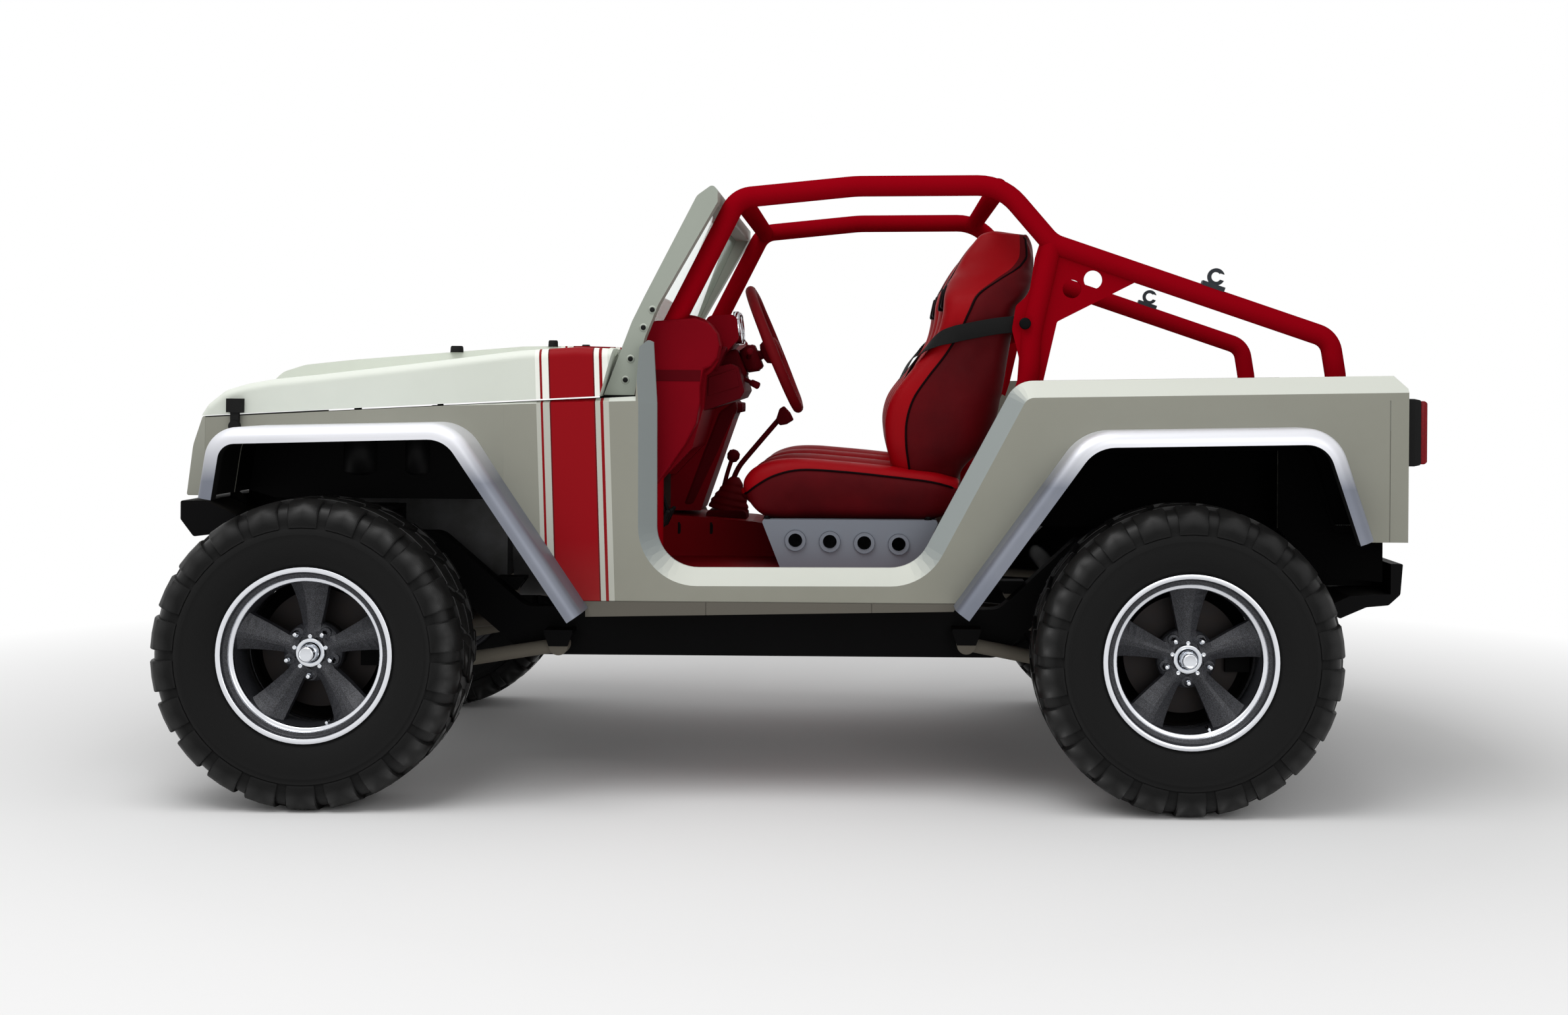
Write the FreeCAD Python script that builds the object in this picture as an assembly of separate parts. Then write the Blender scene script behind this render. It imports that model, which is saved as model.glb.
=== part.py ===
import FreeCAD, Part
import math
import os

# Lifted two-door off-road 4x4 with an open tub, a tubular roll cage and no doors.
# All sizes are millimetres. X runs to the rear, Y to the vehicle's right and Z up.
# Stations along X are measured from the middle of the wheelbase, and heights from the ground.
# The finished pieces are moved along X so that the origin lies under the middle of the whole length.

V = FreeCAD.Vector
SIDES = (-1, 1)

# Clearances
SEAT_GAP = 0.3
BEARING_GAP = 0.4
PIN_RUNNING_GAP = 0.05
SHUT_GAP = 5.5

# Running gear
WHEELBASE = 2424.0
TRACK = 1640.0
FRONT_AXLE_X = -WHEELBASE / 2
REAR_AXLE_X = WHEELBASE / 2
TYRE_RADIUS = 428.0
TYRE_WIDTH = 292.0
SHOULDER_DEPTH = 66.0
LUG_COUNT = 22
LUG_SHARE = 0.56
LUG_HEIGHT = 13.0
LUG_HALF_ANGLE = math.pi / LUG_COUNT * LUG_SHARE
AXLE_Z = TYRE_RADIUS * math.cos(LUG_HALF_ANGLE)
RIM_RADIUS = 242.0
RIM_WIDTH = 250.0
BEAD_RADIUS = 231.0
BARREL_SKIN = 9.0
BARREL_DROP = 22.0
SPOKE_COUNT = 5
SPOKE_ROOT = 36.0
SPOKE_TIP = 98.0
WHEEL_CENTRE_RADIUS = 84.0
WHEEL_FACE = 36.0
CAP_RADIUS = 26.0
CAP_OUT = 105.0
STUD_CIRCLE_RADIUS = 63.5
LUG_NUT_ROOM = 14.0
WHEEL_OFFSET = 5.0
MOUNT_FACE_OUT = TRACK / 2 - WHEEL_OFFSET
DISC_RADIUS = 165.0
DISC_THICK = 24.0
DISC_INSET = 60.0
HUB_RADIUS = 78.0
HUB_LENGTH = 88.0
KNUCKLE_FACE = MOUNT_FACE_OUT - HUB_LENGTH - BEARING_GAP
CALIPER_GAP = 5.5

# Axles and steering
AXLE_TUBE = 40.0
KINGPIN_OUT = MOUNT_FACE_OUT - 135
KNUCKLE_HALF = 92.0
YOKE_THICK = 26.0
STEER_ARM = 150.0
ARM_THICK = 24.0
ARM_DROP = 42.0
TRACK_ROD_RADIUS = 13.0
PITMAN_X = FRONT_AXLE_X - 120
PITMAN_Z = 508.0
DIFF_RADIUS = 128.0
FRONT_DIFF_Y = -190.0

# Suspension
EYE_RADIUS = 28.0
EYE_HALF = 30.0
EAR_SHEET = 8.0
LINK_RADIUS = 21.0
LINK_Y = 470.0
LINK_AXLE_Y = 395.0
LINK_DROP = 130.0
LINK_AXLE_X = 62.0
FRONT_LINK_FOOT = (-590.0, 396.0)
REAR_LINK_FOOT = (620.0, 408.0)
UPPER_LINK_Y = 325.0
UPPER_EYE_HALF = 22.0
UPPER_EYE_RADIUS = 20.0
UPPER_LINK_RISE = 95.0
UPPER_LINK_FOOT = (760.0, 545.0)
SPRING_Y = 505.0
SPRING_RADIUS = 57.0
SPRING_WIRE = 9.0
SPRING_TURNS = 5.5
SPRING_SEAT_Z = AXLE_Z + 62
SPRING_TOP = {-1: 800.0, 1: 740.0}
SHOCK_Y = 540.0
SHOCK_AHEAD = 110.0
SHOCK_RADIUS = 27.0

# Ladder frame
RAIL_IN = 360.0
RAIL_WIDTH = 70.0
RAIL_OUT = RAIL_IN + RAIL_WIDTH
RAIL_DEPTH = 144.0
RAIL_MID_Z = 433.0
RAIL_FRONT_Z = 655.0
RAIL_REAR_Z = 658.0

# Body
BODY_HALF_WIDTH = 790.0
SIDE_WALL = 55.0
WALL_IN = BODY_HALF_WIDTH - SIDE_WALL
NOSE_HALF_WIDTH = 620.0
NOSE_X = -1600.0
TAPER_X = -700.0
TAIL_X = 1844.0
TUB_TOP_FRONT = 1192.0
TUB_TOP_REAR = 1215.0
SILL_TOP = 656.0
ROCKER_BOTTOM = 520.0
ROCKER_SEAM_Z = 566.0
SEAM_WIDTH = 3.0
SEAM_DEPTH = 2.0
FLOOR_TOP = 635.0
FLOOR_SHEET = 20.0
BED_TOP = 790.0
BED_SHEET = 20.0
BED_FRONT_X = 600.0
BAND = 48.0
BAND_RISE = 12.0
DOOR_FRONT_X = -272.0
DOOR_CORNER = 118.0
DOOR_REAR_FOOT_X = 460.0
DOOR_REAR_TOP_X = 742.0
POST_X = -331.0
POST_TOP = 1300.0
BONNET_REAR_X = -430.0
BONNET_REAR_TOP_X = -396.0
FIREWALL_X = -470.0
FIREWALL_SHEET = 15.0
COWL_TOP = 1143.0
SHUT_FRONT_Z = 1074.0
SHUT_REAR_Z = 1140.0
LEDGE_X = -860.0
LEDGE_DROP = 13.0
GRILLE_DEPTH = 52.0
FRONT_END_X = NOSE_X - 62
TAIL_LAMP_DEPTH = 72.0
REAR_END_X = TAIL_X + TAIL_LAMP_DEPTH
ORIGIN_X = (FRONT_END_X + REAR_END_X) / 2
BUMPER_HALF = NOSE_HALF_WIDTH + 20

# Arches, as corner points of the outer edge of each flare with the radius of each corner
FRONT_ARCH = [
    (FRONT_AXLE_X - 304, 855, 0), (FRONT_AXLE_X - 275, 1046, 90), (FRONT_AXLE_X + 399, 1066, 130),
    (FRONT_AXLE_X + 753, 545, 0),
]
REAR_ARCH = [
    (REAR_AXLE_X - 644, 560, 0), (REAR_AXLE_X - 287, 1055, 150), (REAR_AXLE_X + 400, 1070, 120),
    (REAR_AXLE_X + 504, 762, 0),
]
FLARE_REACH = 145.0
FLARE_OUT = BODY_HALF_WIDTH + FLARE_REACH
FLARE_LIP = 45.0
FLARE_SHEET = 8.0
FLARE_LIP_DEPTH = 40.0
FLARE_ROUND = 34.0
LINER_IN = 500.0
LINER_INSET = 2.0
LINER_SHEET = 6.0
REAR_HOUSE_IN = 590.0
REAR_HOUSE_SHEET = 8.0

# Roll cage
CAGE_TO_WALL = 95.0
CAGE_Y = WALL_IN - CAGE_TO_WALL
CAGE_TUBE = 30.0
CAGE_CROSS_TUBE = 28.0
CAGE_PLATE = 10.0
A_LEG_X = -296.0
A_KNEE_Z = 1240.0
A_TOP = (-58.0, 1714.0)
ROOF_MID = (284.0, 1751.0)
ROOF_REAR = (704.0, 1757.0)
B_TOP = (850.0, 1590.0)
B_KNEE = (793.0, 1330.0)
B_LOW_KNEE = (786.0, 1190.0)
B_FOOT_X = 684.0
DOWN_KNEE = (1655.0, 1322.0)
DOWN_LOW_KNEE = (1672.0, 1220.0)
DOWN_FOOT_X = 1690.0
GUSSET_HOLE = 27.0
GUSSET_HOLES = [(909.0, 1459.0), (970.0, 1486.0)]
BELT_ANCHOR = (772.0, 1357.0)

# Windscreen
SCREEN_GAP = 3.0
SCREEN_HALF = WALL_IN - SCREEN_GAP
SCREEN_SIDE = 62.0
GLASS_LOW_Z = 1250.0
GLASS_HIGH_Z = 1700.0
GLASS_LOW_X = -360.0
GLASS_LEAN = 0.459
GLASS_THICK = 6.0
GLASS_BITE = 12.0

# Cabin
SEAT_Y = CAGE_Y - 260
SEAT_HALF = 240.0
RISER_TOP = 785.0
RISER_SHEET = 6.0
TUNNEL_HALF = 165.0
TUNNEL_TOP = 775.0
TUNNEL_SHEET = 18.0
DASH_HALF = CAGE_Y - 40
DASH_ROLL = (-204.0, 1280.0)
DASH_ROLL_RADIUS = 97.0
WHEEL_X = 38.0
WHEEL_Z = 1282.0
COLUMN_TILT = math.radians(22.5)
COLUMN_DIR = (math.cos(COLUMN_TILT), 0, math.sin(COLUMN_TILT))
COLUMN_RADIUS = 14.0
STEER_RADIUS = 190.5
GRIP_RADIUS = 15.0
STEER_HUB = 40.0

# Bonnet and tailgate
BONNET_SKIN = 24.0
BONNET_EDGE = 26.0
BONNET_PLAN_BEND = 400.0
BONNET_EYE = 14.0
HINGE_OUT = BODY_HALF_WIDTH - 120
BONNET_HINGE_X = -410.0
BONNET_HINGE_Z = 1264.0
BONNET_OPEN = 45
BULGE_HALF = 330.0
GATE_HALF = 567.0
GATE_THICK = 36.0
HINGE_X = TAIL_X + 13
HINGE_Y = GATE_HALF + 15
HINGE_LEVELS = (BED_TOP + 80, TUB_TOP_REAR - 105)
PIN_RADIUS = 6.0

# Engine bay and drive line
ENGINE_FRONT = -1330.0
ENGINE_REAR = -790.0
ENGINE_HALF = 255.0
ENGINE_LOW = 575.0
ENGINE_TOP = 1035.0
BELL_RADIUS = 175.0
TRANSFER_REAR = -30.0
SHAFT_RADIUS = 28.0
EXHAUST_PIPE = 25.0
EXHAUST_Y = 285.0
LAMP_Y = NOSE_HALF_WIDTH - 165
LAMP_Z = 962.0
LAMP_RADIUS = 86.0


def box(x0, x1, y0, y1, z0, z1):
    return Part.makeBox(
        abs(x1 - x0), abs(y1 - y0), abs(z1 - z0), V(min(x0, x1), min(y0, y1), min(z0, z1))
    )


def rod(start, end, radius):
    a, b = V(*start), V(*end)
    return Part.makeCylinder(radius, (b - a).Length, a, b - a)


def cross_rod(x, z, half, radius):
    """A round bar along Y, centred on the vehicle."""
    return rod((x, -half, z), (x, half, z), radius)


def fuse(shapes):
    shapes = list(shapes)
    whole = shapes[0] if len(shapes) == 1 else shapes[0].multiFuse(shapes[1:])
    return whole.removeSplitter()


def together(shapes):
    """Solids that stay apart in one piece of work."""
    return Part.makeCompound([s for shape in shapes for s in shape.Solids])


def mirrored(shape):
    return shape.mirror(V(0, 0, 0), V(0, 1, 0))


def both_sides(shape):
    return [shape, mirrored(shape)]


def corner_path(points, closed):
    """Edges through corner points (x, z, radius) in the XZ plane, each corner rounded by a tangent arc."""
    flat = [V(p[0], 0, p[1]) for p in points]
    radii = [p[2] if len(p) > 2 else 0 for p in points]
    count = len(points)
    arrive, leave, arcs = [], [], []
    for i in range(count):
        here = flat[i]
        if radii[i] <= 0 or (not closed and i in (0, count - 1)):
            arrive.append(here)
            leave.append(here)
            arcs.append(None)
            continue
        back = (flat[i - 1] - here).normalize()
        ahead = (flat[(i + 1) % count] - here).normalize()
        half = back.getAngle(ahead) / 2
        reach = radii[i] / math.tan(half)
        arrive.append(here + back * reach)
        leave.append(here + ahead * reach)
        middle = (back + ahead).normalize()
        centre = here + middle * (radii[i] / math.sin(half))
        arcs.append(centre - middle * radii[i])
    edges = []
    for i in range(count):
        if arcs[i] is not None:
            edges.append(Part.Arc(arrive[i], arcs[i], leave[i]).toShape())
        if i == count - 1 and not closed:
            break
        next_point = arrive[(i + 1) % count]
        if (next_point - leave[i]).Length > 1e-6:
            edges.append(Part.LineSegment(leave[i], next_point).toShape())
    return edges


def plate(points, y0, y1):
    """A closed outline of corner points in the XZ plane, as thick as from y0 to y1."""
    wire = Part.Wire(corner_path(points, True))
    wire.translate(V(0, y0, 0))
    return Part.Face(wire).extrude(V(0, y1 - y0, 0))


def plan_plate(points, z0, z1):
    """A closed outline of (x, y, radius) corner points seen from above, from height z0 to z1."""
    flat = plate(points, 0, z0 - z1)
    flat.rotate(V(0, 0, 0), V(1, 0, 0), -90)
    flat.translate(V(0, 0, z0))
    return flat


def front_plate(points, x0, x1):
    """A closed outline of (y, z, radius) corner points seen from the front, from x0 to x1."""
    flat = plate(points, 0, x0 - x1)
    flat.rotate(V(0, 0, 0), V(0, 0, 1), 90)
    flat.translate(V(x0, 0, 0))
    return flat


def shifted(points, inward):
    """An open path of corner points moved to its right-hand side, with its corner arcs kept concentric."""
    moved = []
    count = len(points)
    for i, (x, z, radius) in enumerate(points):
        normals = []
        for a, b in ((i - 1, i), (i, i + 1)):
            if a >= 0 and b < count:
                dx = points[b][0] - points[a][0]
                dz = points[b][1] - points[a][1]
                length = math.hypot(dx, dz)
                normals.append((dz / length, -dx / length))
        nx = sum(n[0] for n in normals)
        nz = sum(n[1] for n in normals)
        size = math.hypot(nx, nz)
        nx, nz = nx / size, nz / size
        reach = inward / (nx * normals[0][0] + nz * normals[0][1])
        moved.append((x + nx * reach, z + nz * reach, max(radius - inward, 0)))
    return moved


def arch_band(arch, outer, inner, y0, y1):
    """The strip between two distances inside an arch, from y0 to y1."""
    near = shifted(arch, outer)
    far = shifted(arch, inner)
    return plate(near + far[::-1], y0, y1)


def tube(points, radius):
    """A round tube through corner points (x, y, z, bend radius)."""
    corners = [V(*p[:3]) for p in points]
    bends = [p[3] if len(p) > 3 else 0 for p in points]
    edges = []
    start = corners[0]
    for i in range(1, len(corners) - 1):
        back = (corners[i - 1] - corners[i]).normalize()
        ahead = (corners[i + 1] - corners[i]).normalize()
        half = back.getAngle(ahead) / 2
        reach = bends[i] / math.tan(half)
        middle = (back + ahead).normalize()
        centre = corners[i] + middle * (bends[i] / math.sin(half))
        arrive, leave = corners[i] + back * reach, corners[i] + ahead * reach
        edges.append(Part.LineSegment(start, arrive).toShape())
        edges.append(Part.Arc(arrive, centre - middle * bends[i], leave).toShape())
        start = leave
    edges.append(Part.LineSegment(start, corners[-1]).toShape())
    heading = (corners[1] - corners[0]).normalize()
    ring = Part.Wire(Part.makeCircle(radius, corners[0], heading))
    return Part.Wire(edges).makePipeShell([ring], True, False)


def revolved(profile, centre):
    """Revolves (radius, y) points around an axis along Y through a centre."""
    loop = [V(r, y, 0) for r, y in profile]
    face = Part.Face(Part.makePolygon(loop + loop[:1]))
    solid = face.revolve(V(0, 0, 0), V(0, 1, 0), 360)
    solid.translate(centre)
    return solid


def span(side, near, far):
    """Ordered y limits of a stretch that lies on one side of the vehicle."""
    return sorted((side * near, side * far))


# Tyres, rims, brake discs

def tyre(centre_x, centre_y):
    """Tyre made of flat facets: a plain casing with a ring of lugs that run over both shoulders."""
    half = TYRE_WIDTH / 2
    bead_half = RIM_WIDTH / 2 - 14
    shoulder = TYRE_RADIUS - SHOULDER_DEPTH
    casing = [
        (BEAD_RADIUS, bead_half, False),
        (RIM_RADIUS + 2, bead_half, False),
        (RIM_RADIUS + 58, half, False),
        (shoulder, half, False),
        (TYRE_RADIUS - 18, half - 12, True),
        (TYRE_RADIUS, half - 42, True),
    ]
    profile = casing + [(r, -y, lug) for r, y, lug in casing[::-1]]
    pitch = 2 * math.pi / LUG_COUNT

    def ring_point(entry, angle, raised):
        r, y, lug = entry
        if lug and not raised:
            slope = min(1.0, max(0.0, (TYRE_RADIUS - r) / 18))
            side = 1 if y > 0 else -1
            r = r - LUG_HEIGHT * (1 - slope * 0.4)
            y = y - side * LUG_HEIGHT * slope * 0.6
        return V(centre_x + r * math.sin(angle), centre_y + y, AXLE_Z - r * math.cos(angle))

    faces = []

    def facet(points):
        kept = []
        for p in points:
            if not kept or (p - kept[-1]).Length > 1e-6:
                kept.append(p)
        if (kept[0] - kept[-1]).Length < 1e-6:
            kept.pop()
        if len(kept) > 2:
            faces.append(Part.Face(Part.makePolygon(kept + kept[:1])))

    pairs = list(zip(profile, profile[1:] + profile[:1]))
    for k in range(LUG_COUNT):
        low = k * pitch - LUG_HALF_ANGLE
        high = k * pitch + LUG_HALF_ANGLE
        for start, end, raised in ((low, high, True), (high, low + pitch, False)):
            for a, b in pairs:
                near = [ring_point(a, start, raised), ring_point(b, start, raised)]
                far = [ring_point(b, end, raised), ring_point(a, end, raised)]
                facet(near + far)
        for angle in (low, high):
            for a, b in pairs:
                if a[2] or b[2]:
                    up = [ring_point(a, angle, True), ring_point(b, angle, True)]
                    down = [ring_point(b, angle, False), ring_point(a, angle, False)]
                    facet(up + down)
    shell = Part.makeShell(faces)
    shell.sewShape()
    solid = Part.makeSolid(shell)
    if solid.Volume < 0:
        solid.reverse()
    return solid


def spoke(root_r, tip_r):
    """One spoke pointing up, ridged along its middle and wider at the rim."""
    def section(r, half, ridge_y, edge_y, rear_y):
        points = [
            V(-half, edge_y, r), V(-half * 0.35, ridge_y, r), V(half * 0.35, ridge_y, r), V(half, edge_y, r),
            V(half * 0.8, rear_y, r), V(-half * 0.8, rear_y, r),
        ]
        return Part.makePolygon(points + points[:1])
    front, back = -WHEEL_FACE, -14
    sections = [
        section(root_r, SPOKE_ROOT / 2, front - 8, front + 6, back),
        section((root_r + tip_r) / 2, (SPOKE_ROOT + SPOKE_TIP) / 4, front - 22, front - 2, back - 8),
        section(tip_r, SPOKE_TIP / 2, front - 26, front - 2, back - 12),
    ]
    return Part.makeLoft(sections, True, True)


def stud_places():
    """Angle and (x, z) of each wheel stud, between the spokes."""
    places = []
    for k in range(SPOKE_COUNT):
        angle = math.radians(360 / SPOKE_COUNT * (k + 0.5))
        places.append((STUD_CIRCLE_RADIUS * math.sin(angle), STUD_CIRCLE_RADIUS * math.cos(angle)))
    return places


def rim():
    """Rim in its own frame: axis Y, outboard towards -Y, mounting face at y = 0."""
    inner = RIM_WIDTH / 2 - WHEEL_OFFSET
    outer = inner - RIM_WIDTH
    seat = BEAD_RADIUS - SEAT_GAP - 1
    drop = seat - BARREL_DROP
    skin = seat - BARREL_SKIN
    barrel = [
        (RIM_RADIUS, outer), (RIM_RADIUS, outer + 9), (seat, outer + 12), (seat - 2, outer + 42),
        (drop, outer + 60), (drop, inner - 60), (seat - 2, inner - 42), (seat, inner - 12),
        (RIM_RADIUS, inner - 9), (RIM_RADIUS, inner), (skin, inner), (skin - 2, inner - 42),
        (drop - BARREL_SKIN, inner - 66), (drop - BARREL_SKIN, outer + 66), (skin - 18, outer + 52),
        (skin - 18, outer + 34), (skin, outer + 22), (skin, outer),
    ]
    centre = [
        (0, 0), (WHEEL_CENTRE_RADIUS, 0), (WHEEL_CENTRE_RADIUS, -WHEEL_FACE + 14), (58, -WHEEL_FACE),
        (0, -WHEEL_FACE),
    ]
    cap = [
        (0, -CAP_OUT), (CAP_RADIUS - 3, -CAP_OUT), (CAP_RADIUS, -CAP_OUT + 4), (CAP_RADIUS, -WHEEL_FACE - 12),
        (44, -WHEEL_FACE - 8), (44, -WHEEL_FACE + 2), (0, -WHEEL_FACE + 2),
    ]
    pieces = [revolved(outline, V(0, 0, 0)) for outline in (barrel, centre, cap)]
    for k in range(SPOKE_COUNT):
        arm = spoke(40, drop - BARREL_SKIN + 4)
        arm.rotate(V(0, 0, 0), V(0, 1, 0), 360 / SPOKE_COUNT * k)
        pieces.append(arm)
    whole = fuse(pieces)
    for x, z in stud_places():
        whole = whole.cut(rod((x, 1, z), (x, -WHEEL_FACE - 40, z), 7.5))
        whole = whole.cut(rod((x, -14, z), (x, -WHEEL_FACE - 40, z), LUG_NUT_ROOM))
    return whole


def brake_disc():
    """Hub and disc in the rim's frame: the rim seats on its flange and the bearing end is at +Y."""
    profile = [
        (0, SEAT_GAP), (HUB_RADIUS, SEAT_GAP), (HUB_RADIUS, DISC_INSET - DISC_THICK),
        (DISC_RADIUS, DISC_INSET - DISC_THICK), (DISC_RADIUS, DISC_INSET), (60, DISC_INSET), (60, HUB_LENGTH),
        (0, HUB_LENGTH),
    ]
    return revolved(profile, V(0, 0, 0))


def placed_wheel(shape, x, side):
    """Moves a wheel piece from its own frame to an axle end."""
    moved = mirrored(shape) if side > 0 else shape.copy()
    moved.translate(V(x, side * MOUNT_FACE_OUT, AXLE_Z))
    return moved


# Axles, knuckles and steering

def caliper(x):
    """Left brake caliper behind an axle: a bridge over the disc's edge with a cheek on each side."""
    disc_in = MOUNT_FACE_OUT - DISC_INSET
    disc_out = disc_in + DISC_THICK
    cheek_out = disc_out + CALIPER_GAP + 16
    inner = box(x + 118, x + 182, -disc_in + CALIPER_GAP, -KNUCKLE_FACE + 8, AXLE_Z - 50, AXLE_Z + 50)
    outer = box(x + 118, x + 186, -cheek_out, -disc_out - CALIPER_GAP, AXLE_Z - 46, AXLE_Z + 46)
    bridge = box(
        x + DISC_RADIUS + CALIPER_GAP, x + 186, -cheek_out, -disc_in + CALIPER_GAP + 2,
        AXLE_Z - 46, AXLE_Z + 46
    )
    return fuse([inner, bridge, outer])


def knuckle():
    """Left steering knuckle with its kingpins, spindle flange, brake caliper and steering arm."""
    x, y = FRONT_AXLE_X, -KINGPIN_OUT
    pin_half = KNUCKLE_HALF - SEAT_GAP
    post = rod((x, y, AXLE_Z - pin_half), (x, y, AXLE_Z + pin_half), 30)
    flange = rod((x, y, AXLE_Z), (x, -KNUCKLE_FACE, AXLE_Z), 58)
    low = AXLE_Z - ARM_DROP
    arm = box(x - STEER_ARM, x - 20, y - 14, y + 14, low, low + ARM_THICK)
    eye = rod((x - STEER_ARM, y, low), (x - STEER_ARM, y, low + ARM_THICK), 20)
    bracket = box(x + 30, x + 150, -KNUCKLE_FACE + 2, y - 10, AXLE_Z - 36, AXLE_Z + 36)
    return fuse([post, flange, arm, eye, bracket, caliper(x)])


def ears(x, y, z, base, eye_half, eye_radius):
    """Two plates beside a link's eye, down or up to a base line between two (x, z) points."""
    plates = []
    outline = [(*base[0], 0), (*base[1], 0), (x + eye_radius, z, 0), (x - eye_radius, z, 0)]
    for side in SIDES:
        inner = y + side * (eye_half + SEAT_GAP)
        outer = inner + side * EAR_SHEET
        plates.append(plate(outline, min(inner, outer), max(inner, outer)))
    return plates


def axle_brackets(x, end):
    """Link ears, spring seats and shock feet on an axle. end is -1 on the front axle and 1 on the rear."""
    pieces = []
    for side in SIDES:
        low_x, low_z = x - end * LINK_AXLE_X, AXLE_Z - LINK_DROP
        base = [(x - 30, AXLE_Z), (x + 30, AXLE_Z)]
        pieces += ears(low_x, side * LINK_AXLE_Y, low_z, base, EYE_HALF, EYE_RADIUS)
        top_base = [(x - 26, AXLE_Z + 20), (x + 26, AXLE_Z + 20)]
        high_z = AXLE_Z + UPPER_LINK_RISE
        pieces += ears(x, side * UPPER_LINK_Y, high_z, top_base, UPPER_EYE_HALF, UPPER_EYE_RADIUS)
        seat = side * SPRING_Y
        pieces.append(rod((x, seat, AXLE_Z + 20), (x, seat, SPRING_SEAT_Z), SPRING_RADIUS + SPRING_WIRE + 4))
        shock_x = x - end * SHOCK_AHEAD
        y0, y1 = span(side, SHOCK_Y - 14 - SEAT_GAP, SHOCK_Y - 24)
        pieces.append(box(x - end * 20, shock_x - end * 22, y0, y1, AXLE_Z - 44, AXLE_Z - 10))
    return pieces


def front_axle():
    """Live front axle: tubes, a differential left of the middle, and the yokes that hold the knuckles."""
    x = FRONT_AXLE_X
    pieces = [cross_rod(x, AXLE_Z, KINGPIN_OUT - 70, AXLE_TUBE)]
    ball = Part.makeSphere(DIFF_RADIUS, V(x, FRONT_DIFF_Y, AXLE_Z))
    pieces.append(ball.common(
        box(x - 95, x + 118, FRONT_DIFF_Y - 110, FRONT_DIFF_Y + 130, AXLE_Z - 112, AXLE_Z + 112)
    ))
    pieces.append(rod((x + 80, FRONT_DIFF_Y, AXLE_Z), (x + 190, FRONT_DIFF_Y, AXLE_Z), 46))
    low, high = AXLE_Z - KNUCKLE_HALF - YOKE_THICK, AXLE_Z + KNUCKLE_HALF + YOKE_THICK
    for side in SIDES:
        y0, y1 = span(side, KINGPIN_OUT - 90, KINGPIN_OUT + 34)
        pieces.append(box(x - 40, x + 40, y0, y1, AXLE_Z + KNUCKLE_HALF, high))
        pieces.append(box(x - 40, x + 40, y0, y1, low, AXLE_Z - KNUCKLE_HALF))
        y0, y1 = span(side, KINGPIN_OUT - 102, KINGPIN_OUT - 68)
        pieces.append(box(x - 40, x + 40, y0, y1, low, high))
    return fuse(pieces + axle_brackets(x, -1))


def rear_axle():
    """Live rear axle with its differential in the middle and a brake caliper at each end."""
    x = REAR_AXLE_X
    pieces = [cross_rod(x, AXLE_Z, KNUCKLE_FACE, AXLE_TUBE)]
    ball = Part.makeSphere(DIFF_RADIUS + 12, V(x, 0, AXLE_Z))
    pieces.append(ball.common(box(x - 130, x + 112, -150, 150, AXLE_Z - 120, AXLE_Z + 120)))
    pieces.append(rod((x - 80, 0, AXLE_Z), (x - 200, 0, AXLE_Z), 46))
    for side in SIDES:
        end = side * KNUCKLE_FACE
        pieces.append(rod((x, end, AXLE_Z), (x, end - side * 24, AXLE_Z), 58))
    arm = box(x + 20, x + 140, -KNUCKLE_FACE, -KNUCKLE_FACE + 22, AXLE_Z - 36, AXLE_Z + 36)
    pieces += both_sides(fuse([caliper(x), arm]))
    return fuse(pieces + axle_brackets(x, 1))


def steering_rods():
    """Tie rod under the knuckle arms, and the drag link over the right one to the pitman arm."""
    x = FRONT_AXLE_X - STEER_ARM
    under = AXLE_Z - ARM_DROP - SEAT_GAP
    tie = [cross_rod(x, under - 31, KINGPIN_OUT, TRACK_ROD_RADIUS)]
    for side in SIDES:
        y = side * KINGPIN_OUT
        tie.append(rod((x, y, under), (x, y, under - 46), 19))
    over = AXLE_Z - ARM_DROP + ARM_THICK + SEAT_GAP
    pitman = (PITMAN_X - STEER_ARM, -PITMAN_Y)
    drag = [
        rod((x, KINGPIN_OUT, over + 15), (*pitman, PITMAN_Z - 15), TRACK_ROD_RADIUS),
        rod((x, KINGPIN_OUT, over), (x, KINGPIN_OUT, over + 30), 19),
        rod((*pitman, PITMAN_Z - SEAT_GAP), (*pitman, PITMAN_Z - 30), 19),
    ]
    return together([fuse(tie), fuse(drag)])


PITMAN_Y = (RAIL_IN + RAIL_OUT) / 2
PITMAN_THICK = 20.0


def pitman_arm():
    top = PITMAN_Z + PITMAN_THICK
    arm = box(PITMAN_X - STEER_ARM, PITMAN_X, -PITMAN_Y - 15, -PITMAN_Y + 15, PITMAN_Z, top)
    eye = rod((PITMAN_X - STEER_ARM, -PITMAN_Y, PITMAN_Z), (PITMAN_X - STEER_ARM, -PITMAN_Y, top), 20)
    boss = rod((PITMAN_X, -PITMAN_Y, PITMAN_Z), (PITMAN_X, -PITMAN_Y, top + 20), 24)
    return fuse([arm, eye, boss])


# Springs, links and shocks

def link(start, end, radius, eye_radius, eye_half):
    """A round bar between two points with an eye across each end."""
    pieces = [rod(start, end, radius)]
    for px, py, pz in (start, end):
        pieces.append(rod((px, py - eye_half, pz), (px, py + eye_half, pz), eye_radius))
    return fuse(pieces)


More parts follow.
